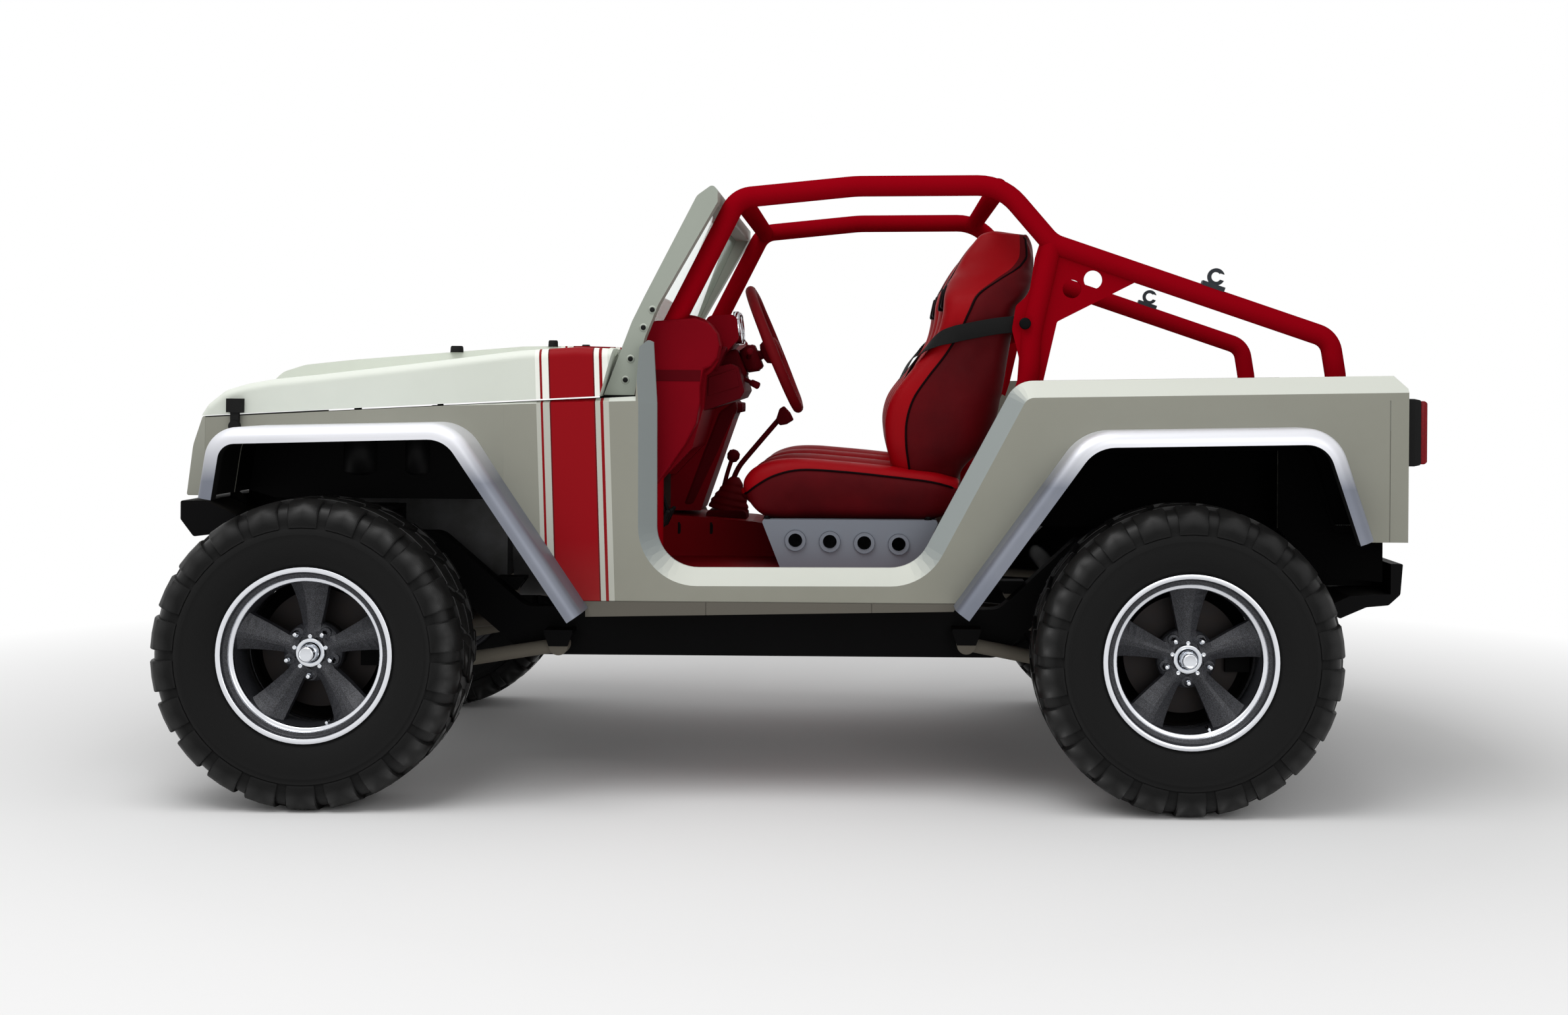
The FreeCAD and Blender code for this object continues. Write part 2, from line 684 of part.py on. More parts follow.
def suspension_links():
    """Four lower and four upper trailing links."""
    pieces = []
    for side in SIDES:
        for x, end, foot in ((FRONT_AXLE_X, -1, FRONT_LINK_FOOT), (REAR_AXLE_X, 1, REAR_LINK_FOOT)):
            start = (x - end * LINK_AXLE_X, side * LINK_AXLE_Y, AXLE_Z - LINK_DROP)
            pieces.append(link(start, (foot[0], side * LINK_Y, foot[1]), LINK_RADIUS, EYE_RADIUS, EYE_HALF))
            y = side * UPPER_LINK_Y
            start = (x, y, AXLE_Z + UPPER_LINK_RISE)
            finish = (end * UPPER_LINK_FOOT[0], y, UPPER_LINK_FOOT[1])
            pieces.append(link(start, finish, 15, UPPER_EYE_RADIUS, UPPER_EYE_HALF))
    return together(pieces)


def coil(x, y, low, high):
    """A coil spring of flat-sided wire, its ends resting on the seats at low and high."""
    steps = 12
    count = int(SPRING_TURNS * steps)
    points = []
    for i in range(count + 1):
        angle = 2 * math.pi * i / steps
        z = low + SPRING_WIRE + (high - low - 2 * SPRING_WIRE) * i / count
        points.append(V(x + SPRING_RADIUS * math.cos(angle), y + SPRING_RADIUS * math.sin(angle), z))
    heading = (points[1] - points[0]).normalize()
    across = heading.cross(V(0, 0, 1)).normalize()
    up = across.cross(heading)
    ring = []
    for k in range(8):
        turn = math.pi / 8 + k * math.pi / 4
        ring.append(points[0] + (across * math.cos(turn) + up * math.sin(turn)) * SPRING_WIRE)
    wire = Part.Wire(Part.makePolygon(points))
    return wire.makePipeShell([Part.makePolygon(ring + ring[:1])], True, False, 1)


def coil_springs():
    pieces = []
    for x, end in ((FRONT_AXLE_X, -1), (REAR_AXLE_X, 1)):
        for side in SIDES:
            top = SPRING_TOP[end] - SEAT_GAP
            pieces.append(coil(x, side * SPRING_Y, SPRING_SEAT_Z + SEAT_GAP, top))
    return together(pieces)


def shock_absorbers():
    pieces = []
    for x, end in ((FRONT_AXLE_X, -1), (REAR_AXLE_X, 1)):
        for side in SIDES:
            sx, y = x - end * SHOCK_AHEAD, side * SHOCK_Y
            top = SPRING_TOP[end]
            eye = rod((sx, y - 14, AXLE_Z - 24), (sx, y + 14, AXLE_Z - 24), 20)
            body = rod((sx, y, AXLE_Z - 8), (sx, y, top - 118), SHOCK_RADIUS)
            stem = rod((sx, y, top - 125), (sx, y, top - SEAT_GAP), 11)
            cover = rod((sx, y, top - 120), (sx, y, top - 60), SHOCK_RADIUS + 4)
            pieces.append(fuse([eye, body, stem, cover]))
    return together(pieces)


# Frame, bumpers and drive line

CROSSMEMBERS = [
    (NOSE_X + 70, 730, 26), (-560, RAIL_MID_Z - 48, 24), (380, RAIL_MID_Z - 48, 24),
    (900, 610, 30), (TAIL_X - 99, RAIL_REAR_Z, 34),
]


def rail_outline():
    """Side view of one rail: low between the axles and kicked up over each of them."""
    half = RAIL_DEPTH / 2
    centre = [
        (NOSE_X + 10, 770), (FRONT_AXLE_X - 228, RAIL_FRONT_Z), (FRONT_AXLE_X + 252, RAIL_FRONT_Z),
        (FRONT_AXLE_X + 512, RAIL_MID_Z), (REAR_AXLE_X - 492, RAIL_MID_Z), (REAR_AXLE_X - 252, RAIL_REAR_Z),
        (TAIL_X - 6 - SEAT_GAP, RAIL_REAR_Z),
    ]
    top = [(x, z + half, 60) for x, z in centre]
    bottom = [(x, z - half, 60) for x, z in centre]
    for line in (top, bottom):
        line[0] = (*line[0][:2], 0)
        line[-1] = (*line[-1][:2], 0)
    return top + bottom[::-1]


def link_bracket(side, x, z, y, eye_half, eye_radius):
    """Ears hanging from a short shelf beside a rail, round the frame end of a link."""
    shelf = z + eye_radius + 10
    pieces = ears(x, side * y, z, [(x - 42, shelf), (x + 42, shelf)], eye_half, eye_radius)
    outer = y > RAIL_OUT
    near = RAIL_OUT - 5 if outer else RAIL_IN + 5
    far = y + eye_half + EAR_SHEET if outer else y - eye_half - EAR_SHEET
    y0, y1 = span(side, near, far)
    pieces.append(box(x - 42, x + 42, y0, y1, shelf, shelf + 10))
    return pieces


def frame_rail(side):
    """One rail with its spring tower, shock tops, link brackets and body mounts."""
    y0, y1 = span(side, RAIL_IN, RAIL_OUT)
    pieces = [plate(rail_outline(), y0, y1)]
    for x, end in ((FRONT_AXLE_X, -1), (REAR_AXLE_X, 1)):
        top = SPRING_TOP[end]
        x0, x1 = sorted((x + end * 78, x - end * (SHOCK_AHEAD + 38)))
        y0, y1 = span(side, RAIL_OUT - 10, SHOCK_Y + 36)
        pieces.append(box(x0, x1, y0, y1, top, top + 12))
        y0, y1 = span(side, RAIL_OUT - 10, RAIL_OUT + 8)
        pieces.append(box(x0, x1, y0, y1, RAIL_FRONT_Z, top + 12))
        foot = FRONT_LINK_FOOT if end < 0 else REAR_LINK_FOOT
        pieces += link_bracket(side, *foot, LINK_Y, EYE_HALF, EYE_RADIUS)
        pieces += link_bracket(
            side, end * UPPER_LINK_FOOT[0], UPPER_LINK_FOOT[1], UPPER_LINK_Y, UPPER_EYE_HALF, UPPER_EYE_RADIUS
        )
    mounts = [(-200, FLOOR_TOP - FLOOR_SHEET), (420, FLOOR_TOP - FLOOR_SHEET), (1500, BED_TOP - BED_SHEET)]
    for x, z in mounts:
        y = side * (RAIL_IN + RAIL_OUT) / 2
        pieces.append(rod((x, y, RAIL_MID_Z), (x, y, z - SEAT_GAP), 32))
    return fuse(pieces)


def frame_rails():
    """Two rails, the crossmembers between them and the steering box on the left one."""
    gear_low = PITMAN_Z + PITMAN_THICK + 20 + SEAT_GAP
    gear = rod((PITMAN_X, -PITMAN_Y, gear_low), (PITMAN_X, -PITMAN_Y, RAIL_FRONT_Z), 34)
    left = fuse([frame_rail(-1), gear])
    bars = [cross_rod(x, z, RAIL_IN - SEAT_GAP, r) for x, z, r in CROSSMEMBERS]
    return together([left, frame_rail(1)] + bars)


def front_bumper():
    front = FRONT_END_X
    outline = [
        (front, 828, 6), (front, 774, 10), (front + 38, 724, 10), (front + 102, 732, 0),
        (front + 160, 768, 0), (front + 160, 786, 0), (front + 72, 828, 0),
    ]
    whole = plate(outline, -BUMPER_HALF, BUMPER_HALF)
    rail_end = NOSE_X + 10 - SEAT_GAP
    return whole.cut(box(rail_end, front + 180, -RAIL_OUT - 10, RAIL_OUT + 10, 690, 850))


def rear_bumper():
    tail = TAIL_X
    outline = [
        (tail - 6, 672, 0), (tail + 29, 672, 4), (tail + 22, 583, 12), (tail - 12, 552, 12),
        (tail - 76, 546, 20),
        (tail - 154, 512, 6), (tail - 180, 552, 4), (tail - 124, 578, 20), (tail - 6, 584, 0),
    ]
    return plate(outline, -BUMPER_HALF, BUMPER_HALF)


def engine_block():
    block = box(ENGINE_FRONT, ENGINE_REAR, -ENGINE_HALF, ENGINE_HALF, ENGINE_LOW, ENGINE_TOP)
    pieces = [block]
    for side in SIDES:
        y0, y1 = span(side, ENGINE_HALF - 5, RAIL_IN - SEAT_GAP)
        pieces.append(box(-1050, -980, y0, y1, 640, 700))
    return fuse(pieces)


def gearbox():
    """Bell housing, gearbox and the transfer case that drives both shafts."""
    z = ENGINE_LOW + 90
    pieces = [
        rod((ENGINE_REAR + SEAT_GAP, 0, z), (-690, 0, z), BELL_RADIUS),
        Part.makeCone(BELL_RADIUS, 105, 80, V(-690, 0, z), V(1, 0, 0)),
        box(-650, -240, -95, 95, 490, 690),
        box(-240, TRANSFER_REAR, -240, 110, 430, 600),
        box(-585, -535, -40, 40, CROSSMEMBERS[1][1] + CROSSMEMBERS[1][2] + SEAT_GAP, 495),
    ]
    return fuse(pieces)


def propeller_shafts():
    nose = (FRONT_AXLE_X + 190, FRONT_DIFF_Y, AXLE_Z)
    front = rod((-240 - SEAT_GAP, FRONT_DIFF_Y, 490), nose, SHAFT_RADIUS)
    rear = rod((TRANSFER_REAR, 0, 500), (REAR_AXLE_X - 200, 0, AXLE_Z), SHAFT_RADIUS)
    room = [
        box(FRONT_AXLE_X + 190 + SEAT_GAP, -240 - SEAT_GAP, -400, 0, 300, 700),
        box(TRANSFER_REAR + SEAT_GAP, REAR_AXLE_X - 200 - SEAT_GAP, -100, 100, 300, 700),
    ]
    return together([front.common(room[0]), rear.common(room[1])])


def exhaust():
    """Down pipe, silencer and tail pipe on the right of the gearbox."""
    start = (-850, 225, ENGINE_LOW - SEAT_GAP)
    path = [
        start, (-850, 225, 500, 45), (-690, 265, 470, 60), (-500, EXHAUST_Y, 470, 200), (700, EXHAUST_Y, 470),
    ]
    silencer = rod((-40, EXHAUST_Y, 470), (330, EXHAUST_Y, 470), 62)
    return fuse([tube(path, EXHAUST_PIPE), silencer])


def fuel_tank():
    outline = [(1400, 535, 30), (1400, 724, 20), (TAIL_X - 192, 724, 20), (TAIL_X - 192, 560, 60)]
    return plate(outline, -RAIL_IN + SEAT_GAP, RAIL_IN - SEAT_GAP)


def radiator():
    low = CROSSMEMBERS[0][1] + CROSSMEMBERS[0][2] + SEAT_GAP
    x = CROSSMEMBERS[0][0]
    core = box(x - 22, x + 22, -345, 345, low, 1050)
    tanks = [box(x - 32, x + 32, y - 20, y + 20, low + 20, 1040) for y in (-325, 325)]
    return fuse([core] + tanks)


# Tub and panels

def shut_line(x):
    """Height of the joint between the bonnet and the wings."""
    return SHUT_FRONT_Z + (SHUT_REAR_Z - SHUT_FRONT_Z) * (x - NOSE_X) / (BONNET_REAR_X - NOSE_X)


def side_plan(outer, inner):
    """Plan outline of a strip that follows the body side, between two distances inside its outer face."""
    return [
        (NOSE_X, -(NOSE_HALF_WIDTH - outer)), (TAPER_X, -(BODY_HALF_WIDTH - outer)),
        (TAIL_X, -(BODY_HALF_WIDTH - outer)), (TAIL_X, -(BODY_HALF_WIDTH - inner)),
        (TAPER_X, -(BODY_HALF_WIDTH - inner)), (NOSE_X, -(NOSE_HALF_WIDTH - inner)),
    ]


def body_side():
    """Left side of the tub and front wing, with the door opening and both arches cut."""
    front_cut = shifted(FRONT_ARCH, 10)
    rear_cut = shifted(REAR_ARCH, 10)
    outline = [
        (NOSE_X, shut_line(NOSE_X) - SHUT_GAP, 0),
        (POST_X, shut_line(POST_X) - SHUT_GAP, 0),
        (POST_X + 9, POST_TOP - 20, 12),
        (POST_X + 31, POST_TOP, 6),
        (POST_X + 45, POST_TOP - 6, 0),
        (DOOR_FRONT_X - 3, TUB_TOP_FRONT - 72, 0),
        (DOOR_FRONT_X, SILL_TOP, DOOR_CORNER),
        (DOOR_REAR_FOOT_X, SILL_TOP + 4, DOOR_CORNER),
        (DOOR_REAR_TOP_X, TUB_TOP_FRONT, 82),
        (TAIL_X - 32, TUB_TOP_REAR, 0),
        (TAIL_X, TUB_TOP_REAR - 36, 0),
        (TAIL_X, 746, 0),
        (rear_cut[-1][0] + 14, 746, 0),
    ]
    outline += rear_cut[::-1]
    outline += [(REAR_ARCH[0][0], ROCKER_BOTTOM + 22, 0), (FRONT_ARCH[-1][0] - 8, ROCKER_BOTTOM, 0)]
    outline += front_cut[::-1]
    outline += [(NOSE_X, front_cut[0][1], 0)]
    slab = plate(outline, -BODY_HALF_WIDTH - 5, -NOSE_HALF_WIDTH + SIDE_WALL + 5)
    shell = slab.common(plan_plate(side_plan(0, SIDE_WALL), 400, 1500))
    band_edges = [e for e in shell.Edges if on_band(e)]
    shell = shell.makeChamfer(BAND, SIDE_WALL - BAND_RISE, band_edges)
    face = -BODY_HALF_WIDTH
    seams = [
        box(FRONT_ARCH[-1][0] - 40, REAR_ARCH[0][0] + 40, face, face + SEAM_DEPTH, ROCKER_SEAM_Z - SEAM_WIDTH,
            ROCKER_SEAM_Z),
        box(TAIL_X - 54, TAIL_X - 51, face, face + SEAM_DEPTH, 740, TUB_TOP_REAR - 70),
    ]
    for x in (-130, 336):
        seams.append(box(x, x + SEAM_WIDTH, face, face + SEAM_DEPTH, 400, ROCKER_SEAM_Z - SEAM_WIDTH))
    for seam in seams:
        shell = shell.cut(seam)
    return shell.cut(wing_ledge())


def nose_taper(x):
    """Half width of the body's outer face at a station."""
    share = min((x - NOSE_X) / (TAPER_X - NOSE_X), 1)
    return NOSE_HALF_WIDTH + (BODY_HALF_WIDTH - NOSE_HALF_WIDTH) * share


def wing_ledge():
    """Wedge that slopes the top outer edge of the wing, and fades out towards the nose."""
    sections = []
    for x, drop in ((LEDGE_X, 1), (TAPER_X, LEDGE_DROP * 0.4), (POST_X + 1, LEDGE_DROP)):
        face, top = -nose_taper(x), shut_line(x) - SHUT_GAP
        corners = [V(x, face - 1, top - drop), V(x, face - 1, top + 1), V(x, face + 2 * drop, top + 1)]
        sections.append(Part.makePolygon(corners + corners[:1]))
    return Part.makeLoft(sections, True, True)


def on_band(edge):
    """True for the outer edges that carry the sloping band: the door opening's and the tub's top rail's."""
    mid = edge.valueAt((edge.FirstParameter + edge.LastParameter) / 2)
    ends = [v.Point for v in edge.Vertexes]
    if any(abs(p.y + BODY_HALF_WIDTH) > 0.01 for p in ends + [mid]):
        return False
    if mid.x < DOOR_FRONT_X - 8 or mid.x > TAIL_X - 30:
        return False
    if any(p.z < SILL_TOP - 5 for p in ends + [mid]):
        return False
    return mid.z > TUB_TOP_FRONT - 60 or mid.x < REAR_ARCH[0][0] or near_door_edge(mid)


def near_door_edge(p):
    share = (p.z - SILL_TOP) / (TUB_TOP_FRONT - SILL_TOP)
    line_x = DOOR_REAR_FOOT_X + (DOOR_REAR_TOP_X - DOOR_REAR_FOOT_X) * share
    return abs(p.x - line_x) < 60


def rear_corner():
    """Post beside the tailgate, closing the tub's rear corner."""
    return box(TAIL_X - SIDE_WALL + 12, TAIL_X, -WALL_IN - 5, -GATE_HALF - SHUT_GAP, 746, TUB_TOP_REAR - 38)


def gate_hinges():
    """Hinge brackets and pins on the right rear corner of the body."""
    pieces = []
    for z in HINGE_LEVELS:
        pieces.append(rod((HINGE_X, HINGE_Y, z - 38), (HINGE_X, HINGE_Y, z + 38), PIN_RADIUS))
        for low in (z - 38, z + 20 + SEAT_GAP):
            high = low + 18 - SEAT_GAP
            pieces.append(rod((HINGE_X, HINGE_Y, low), (HINGE_X, HINGE_Y, high), 2 * PIN_RADIUS))
            pieces.append(box(TAIL_X - 4, HINGE_X - 5, HINGE_Y, HINGE_Y + 58, low, high))
    return pieces


def tailgate():
    """Side-hung tailgate with a shallow pressed panel, and the knuckles that turn on the body's pins."""
    face = TAIL_X - 2
    low, high = BED_TOP + SHUT_GAP, TUB_TOP_REAR - 12
    panel = box(face - GATE_THICK, face, -GATE_HALF, GATE_HALF, low, high)
    pressing = box(face - 4, face + 5, -GATE_HALF + 90, GATE_HALF - 110, low + 70, high - 80)
    panel = panel.cut(pressing)
    handle = box(face - 5, face + 12, -GATE_HALF + 30, -GATE_HALF + 62, high - 190, high - 90)
    pieces = [panel, handle]
    for z in HINGE_LEVELS:
        pieces.append(box(face - 2, face + 4, GATE_HALF - 90, GATE_HALF - 6, z - 20, z + 20))
        pieces.append(box(face + 3, HINGE_X - 4, GATE_HALF - 90, HINGE_Y, z - 20, z + 20))
        pieces.append(rod((HINGE_X, HINGE_Y, z - 20), (HINGE_X, HINGE_Y, z + 20), 2 * PIN_RADIUS))
    whole = fuse(pieces)
    for z in HINGE_LEVELS:
        bore = PIN_RADIUS + PIN_RUNNING_GAP
        whole = whole.cut(rod((HINGE_X, HINGE_Y, z - 40), (HINGE_X, HINGE_Y, z + 40), bore))
    return whole


def arch_flare(arch, plan):
    """One flare: a sheet reaching out from the body with a rounded lip turned down at its outer edge."""
    band = arch_band(arch, 0, FLARE_LIP, -FLARE_OUT, -LINER_IN)
    hollow = arch_band(arch, FLARE_SHEET, FLARE_LIP + 5, -FLARE_OUT + FLARE_LIP_DEPTH, -LINER_IN + 5)
    rim_edges = []
    for edge in band.Edges:
        mid = edge.valueAt((edge.FirstParameter + edge.LastParameter) / 2)
        ends = [v.Point for v in edge.Vertexes]
        on_face = all(abs(p.y + FLARE_OUT) < 0.01 for p in ends + [mid])
        long_enough = edge.Length > FLARE_LIP + 5
        if on_face and long_enough and above_arch(arch, mid):
            rim_edges.append(edge)
    band = band.makeFillet(FLARE_ROUND, rim_edges)
    return band.cut(hollow).common(plan_plate(plan, 400, 1300))


def above_arch(arch, p):
    """True for a point on the outer line of an arch, and false on its inner line."""
    centre_x = (arch[1][0] + arch[2][0]) / 2
    inner = shifted(arch, FLARE_LIP / 2)
    if p.z > inner[1][1] and inner[1][0] < p.x < inner[2][0]:
        return True
    a, b = (inner[0], inner[1]) if p.x < centre_x else (inner[3], inner[2])
    share = (p.z - a[1]) / (b[1] - a[1])
    line_x = a[0] + (b[0] - a[0]) * share
    return p.x < line_x if p.x < centre_x else p.x > line_x


def arch_flares():
    front_plan = [
        (NOSE_X - 100, -FLARE_OUT), (0, -FLARE_OUT), (0, -BODY_HALF_WIDTH - SEAT_GAP),
        (TAPER_X, -BODY_HALF_WIDTH - SEAT_GAP), (NOSE_X, -NOSE_HALF_WIDTH - SEAT_GAP),
        (NOSE_X - 100, -NOSE_HALF_WIDTH - SEAT_GAP),
    ]
    rear_plan = [
        (0, -FLARE_OUT), (TAIL_X + 60, -FLARE_OUT), (TAIL_X + 60, -BODY_HALF_WIDTH - SEAT_GAP),
        (0, -BODY_HALF_WIDTH - SEAT_GAP),
    ]
    front = arch_flare(FRONT_ARCH, front_plan)
    rear = arch_flare(REAR_ARCH, rear_plan)
    return together(both_sides(front) + both_sides(rear))


def inner_wings():
    """Front wheel houses between the wings and the engine bay, closed over the tyres."""
    taper = [
        (NOSE_X, -LINER_IN), (TAPER_X, -LINER_IN), (0, -LINER_IN), (0, -WALL_IN + SEAT_GAP),
        (TAPER_X, -WALL_IN + SEAT_GAP), (NOSE_X, -NOSE_HALF_WIDTH + SIDE_WALL + SEAT_GAP),
    ]
    shell = arch_band(FRONT_ARCH, LINER_INSET, LINER_INSET + LINER_SHEET, -WALL_IN, -LINER_IN)
    shell = shell.common(plan_plate(taper, 560, 1300))
    wall = plate(shifted(FRONT_ARCH, LINER_INSET), -LINER_IN - LINER_SHEET, -LINER_IN)
    wall = wall.common(box(NOSE_X, 0, -LINER_IN - LINER_SHEET, -LINER_IN, SPRING_TOP[-1] + 30, 1300))
    return together(both_sides(fuse([shell, wall])))


def load_bed():
    """Load bed with its front wall, the two wheel houses and the sill under the tailgate."""
    wide = WALL_IN - SEAT_GAP
    end = TAIL_X - SIDE_WALL
    low = BED_TOP - BED_SHEET
    sheet = box(BED_FRONT_X, end, -wide, wide, low, BED_TOP)
    wall = box(BED_FRONT_X, BED_FRONT_X + 18, -wide, wide, FLOOR_TOP - FLOOR_SHEET, BED_TOP)
    hump = shifted(REAR_ARCH, 60 - REAR_HOUSE_SHEET)
    room = shifted(REAR_ARCH, 60)
    pieces, rooms = [sheet, wall], []
    for side in SIDES:
        y0, y1 = span(side, REAR_HOUSE_IN, wide)
        above = box(BED_FRONT_X, end, y0, y1, low, 1200)
        pieces.append(plate(hump, y0, y1).common(above))
        y0, y1 = span(side, REAR_HOUSE_IN + REAR_HOUSE_SHEET, wide + 5)
        rooms.append(plate(room, y0, y1))
    sill = box(end, TAIL_X - 4, -GATE_HALF + 2, GATE_HALF - 2, 746, BED_TOP - 4)
    whole = fuse(pieces + [sill])
    for gap in rooms:
        whole = whole.cut(gap)
    return whole


def floor_pan():
    """Cabin floor with its transmission tunnel and the sloping toe board."""
    wide = WALL_IN - SEAT_GAP
    wall = FIREWALL_X + FIREWALL_SHEET + SEAT_GAP
    toe_x = A_LEG_X - 66
    toe_top = FLOOR_TOP + 125
    end = BED_FRONT_X - SEAT_GAP
    low = FLOOR_TOP - FLOOR_SHEET
    sheet = box(toe_x, end, -wide, wide, low, FLOOR_TOP)
    toe_line = [
        (wall, toe_top, 0), (toe_x, FLOOR_TOP, 0), (toe_x, low, 0), (toe_x - 12, low, 0), (wall, toe_top - 24, 0),
    ]
    toe = plate(toe_line, -wide, wide)
    tunnel_line = [
        (wall, low, 0), (wall, TUNNEL_TOP, 0), (-40, TUNNEL_TOP - 30, 40), (300, TUNNEL_TOP - 85, 40),
        (end, TUNNEL_TOP - 85, 0), (end, low, 0),
    ]
    tunnel = plate(tunnel_line, -TUNNEL_HALF, TUNNEL_HALF)
    hollow_line = [
        (wall - 150, 500, 0), (wall - 150, TUNNEL_TOP - TUNNEL_SHEET, 0),
        (-40, TUNNEL_TOP - 30 - TUNNEL_SHEET, 30), (300, TUNNEL_TOP - 85 - TUNNEL_SHEET, 30),
        (end + 300, TUNNEL_TOP - 85 - TUNNEL_SHEET, 0), (end + 300, 500, 0),
    ]
    hollow = plate(hollow_line, -TUNNEL_HALF + TUNNEL_SHEET, TUNNEL_HALF - TUNNEL_SHEET)
    return fuse([sheet, toe, tunnel]).cut(hollow)


def firewall_and_cowl():
    """Upright firewall and the cowl that bridges it to the foot of the windscreen."""
    wide = WALL_IN - SEAT_GAP
    wall = box(FIREWALL_X, FIREWALL_X + FIREWALL_SHEET, -wide, wide, 620, COWL_TOP - 24)
    front = BONNET_REAR_X + SHUT_GAP
    cowl_line = [
        (front, COWL_TOP, 0), (POST_X, COWL_TOP, 0), (POST_X, COWL_TOP - 45, 0),
        (POST_X - 14, COWL_TOP - 45, 0),
        (POST_X - 14, COWL_TOP - 22, 0), (front + 14, COWL_TOP - 22, 0), (front + 14, COWL_TOP - 44, 0),
        (FIREWALL_X + 5, COWL_TOP - 44, 0), (FIREWALL_X + 5, COWL_TOP - 30, 0), (front, COWL_TOP - 30, 0),
    ]
    cowl = plate(cowl_line, -wide, wide)
    tunnel_room = box(FIREWALL_X - 10, FIREWALL_X + 50, -TUNNEL_HALF, TUNNEL_HALF, 500, TUNNEL_TOP)
    bore = rod(column_point(200), column_point(560), COLUMN_RADIUS + 2)
    stands = [bonnet_hinge_stand(side * HINGE_OUT) for side in SIDES]
    return fuse([wall, cowl] + stands).cut(tunnel_room).cut(bore)


def grille_panel():
    """Front panel with a barred opening and a round hole for each head lamp."""
    back = NOSE_X - SEAT_GAP
    front = NOSE_X - GRILLE_DEPTH
    top = SHUT_FRONT_Z - SHUT_GAP + 3.5
    outline = [(back, 842, 0), (front, 842, 6), (front + 18, 989, 120), (front + 45, top, 8), (back, top, 0)]
    whole = plate(outline, -NOSE_HALF_WIDTH, NOSE_HALF_WIDTH)
    opening_half = LAMP_Y - LAMP_RADIUS - 39
    mouth = front_plate([
        (-opening_half, 874, 26), (opening_half, 874, 26), (opening_half, 1040, 26), (-opening_half, 1040, 26)
    ], front - 20, back + 5)
    whole = whole.cut(mouth)
    bars = []
    for i in range(4):
        z = 900 + i * 34
        bars.append(box(back - 26, back - 8, -opening_half - 2, opening_half + 2, z, z + 12))
    bars.append(box(back - 20, back - 8, -6, 6, 870, 1044))
    whole = fuse([whole] + bars)
    for side in SIDES:
        y = side * LAMP_Y
        whole = whole.cut(rod((front - 20, y, LAMP_Z), (back + 10, y, LAMP_Z), LAMP_RADIUS + SEAT_GAP))
    return whole


def head_lamps():
    front = NOSE_X - GRILLE_DEPTH
    lamp = [
        (0, front - 4), (40, front - 1), (LAMP_RADIUS - 12, front + 10), (LAMP_RADIUS - 12, front + 4),
        (LAMP_RADIUS, front + 6), (LAMP_RADIUS, front + 60), (0, front + 60),
    ]
    loop = [V(x, 0, r) for r, x in lamp]
    shape = Part.Face(Part.makePolygon(loop + loop[:1])).revolve(V(0, 0, 0), V(1, 0, 0), 360)
    shape.translate(V(0, -LAMP_Y, LAMP_Z))
    return together(both_sides(shape))


def tail_lamps():
    """Lamp bodies with a standing lens; they end the vehicle at the rear."""
    lens_face = REAR_END_X
    base_face = TAIL_X + TAIL_LAMP_DEPTH * 0.6
    outer, inner = BODY_HALF_WIDTH - 52, BODY_HALF_WIDTH - 138
    base = plate([
        (TAIL_X + SEAT_GAP, 958, 0), (base_face, 962, 8), (base_face, 1146, 8), (TAIL_X + SEAT_GAP, 1150, 0)
    ], -outer, -inner)
    lens = plate([
        (base_face - 2, 973, 0), (lens_face - 6, 976, 6), (lens_face, 1055, 300), (lens_face - 6, 1134, 6),
        (base_face - 2, 1137, 0)
    ], -outer + 8, -inner - 8)
    return together(both_sides(fuse([base, lens])))


def bonnet_top_line():
    """Upper outline of the bonnet along its side, from the nose to the windscreen."""
    return [
        (NOSE_X - 16, SHUT_FRONT_Z + 2, 0), (-1595, 1107, 30), (-1541, 1148, 60), (-1473, 1167, 100),
        (-1399, 1180, 200), (-1246, 1196, 300), (-950, 1230, 300), (-655, 1267, 300), (-500, 1278, 30),
        (BONNET_REAR_TOP_X, 1274, 0),
    ]


def bulge_top_line():
    """Upper outline of the raised middle of the bonnet."""
    return [
        (-1520, 1150, 0), (-1465, 1203, 60), (-1397, 1225, 100), (-1245, 1242, 200), (-972, 1265, 200),
        (-730, 1286, 200), (-560, 1289, 60), (BONNET_REAR_TOP_X - 40, 1286, 20), (BONNET_REAR_TOP_X - 4, 1276, 0),
    ]


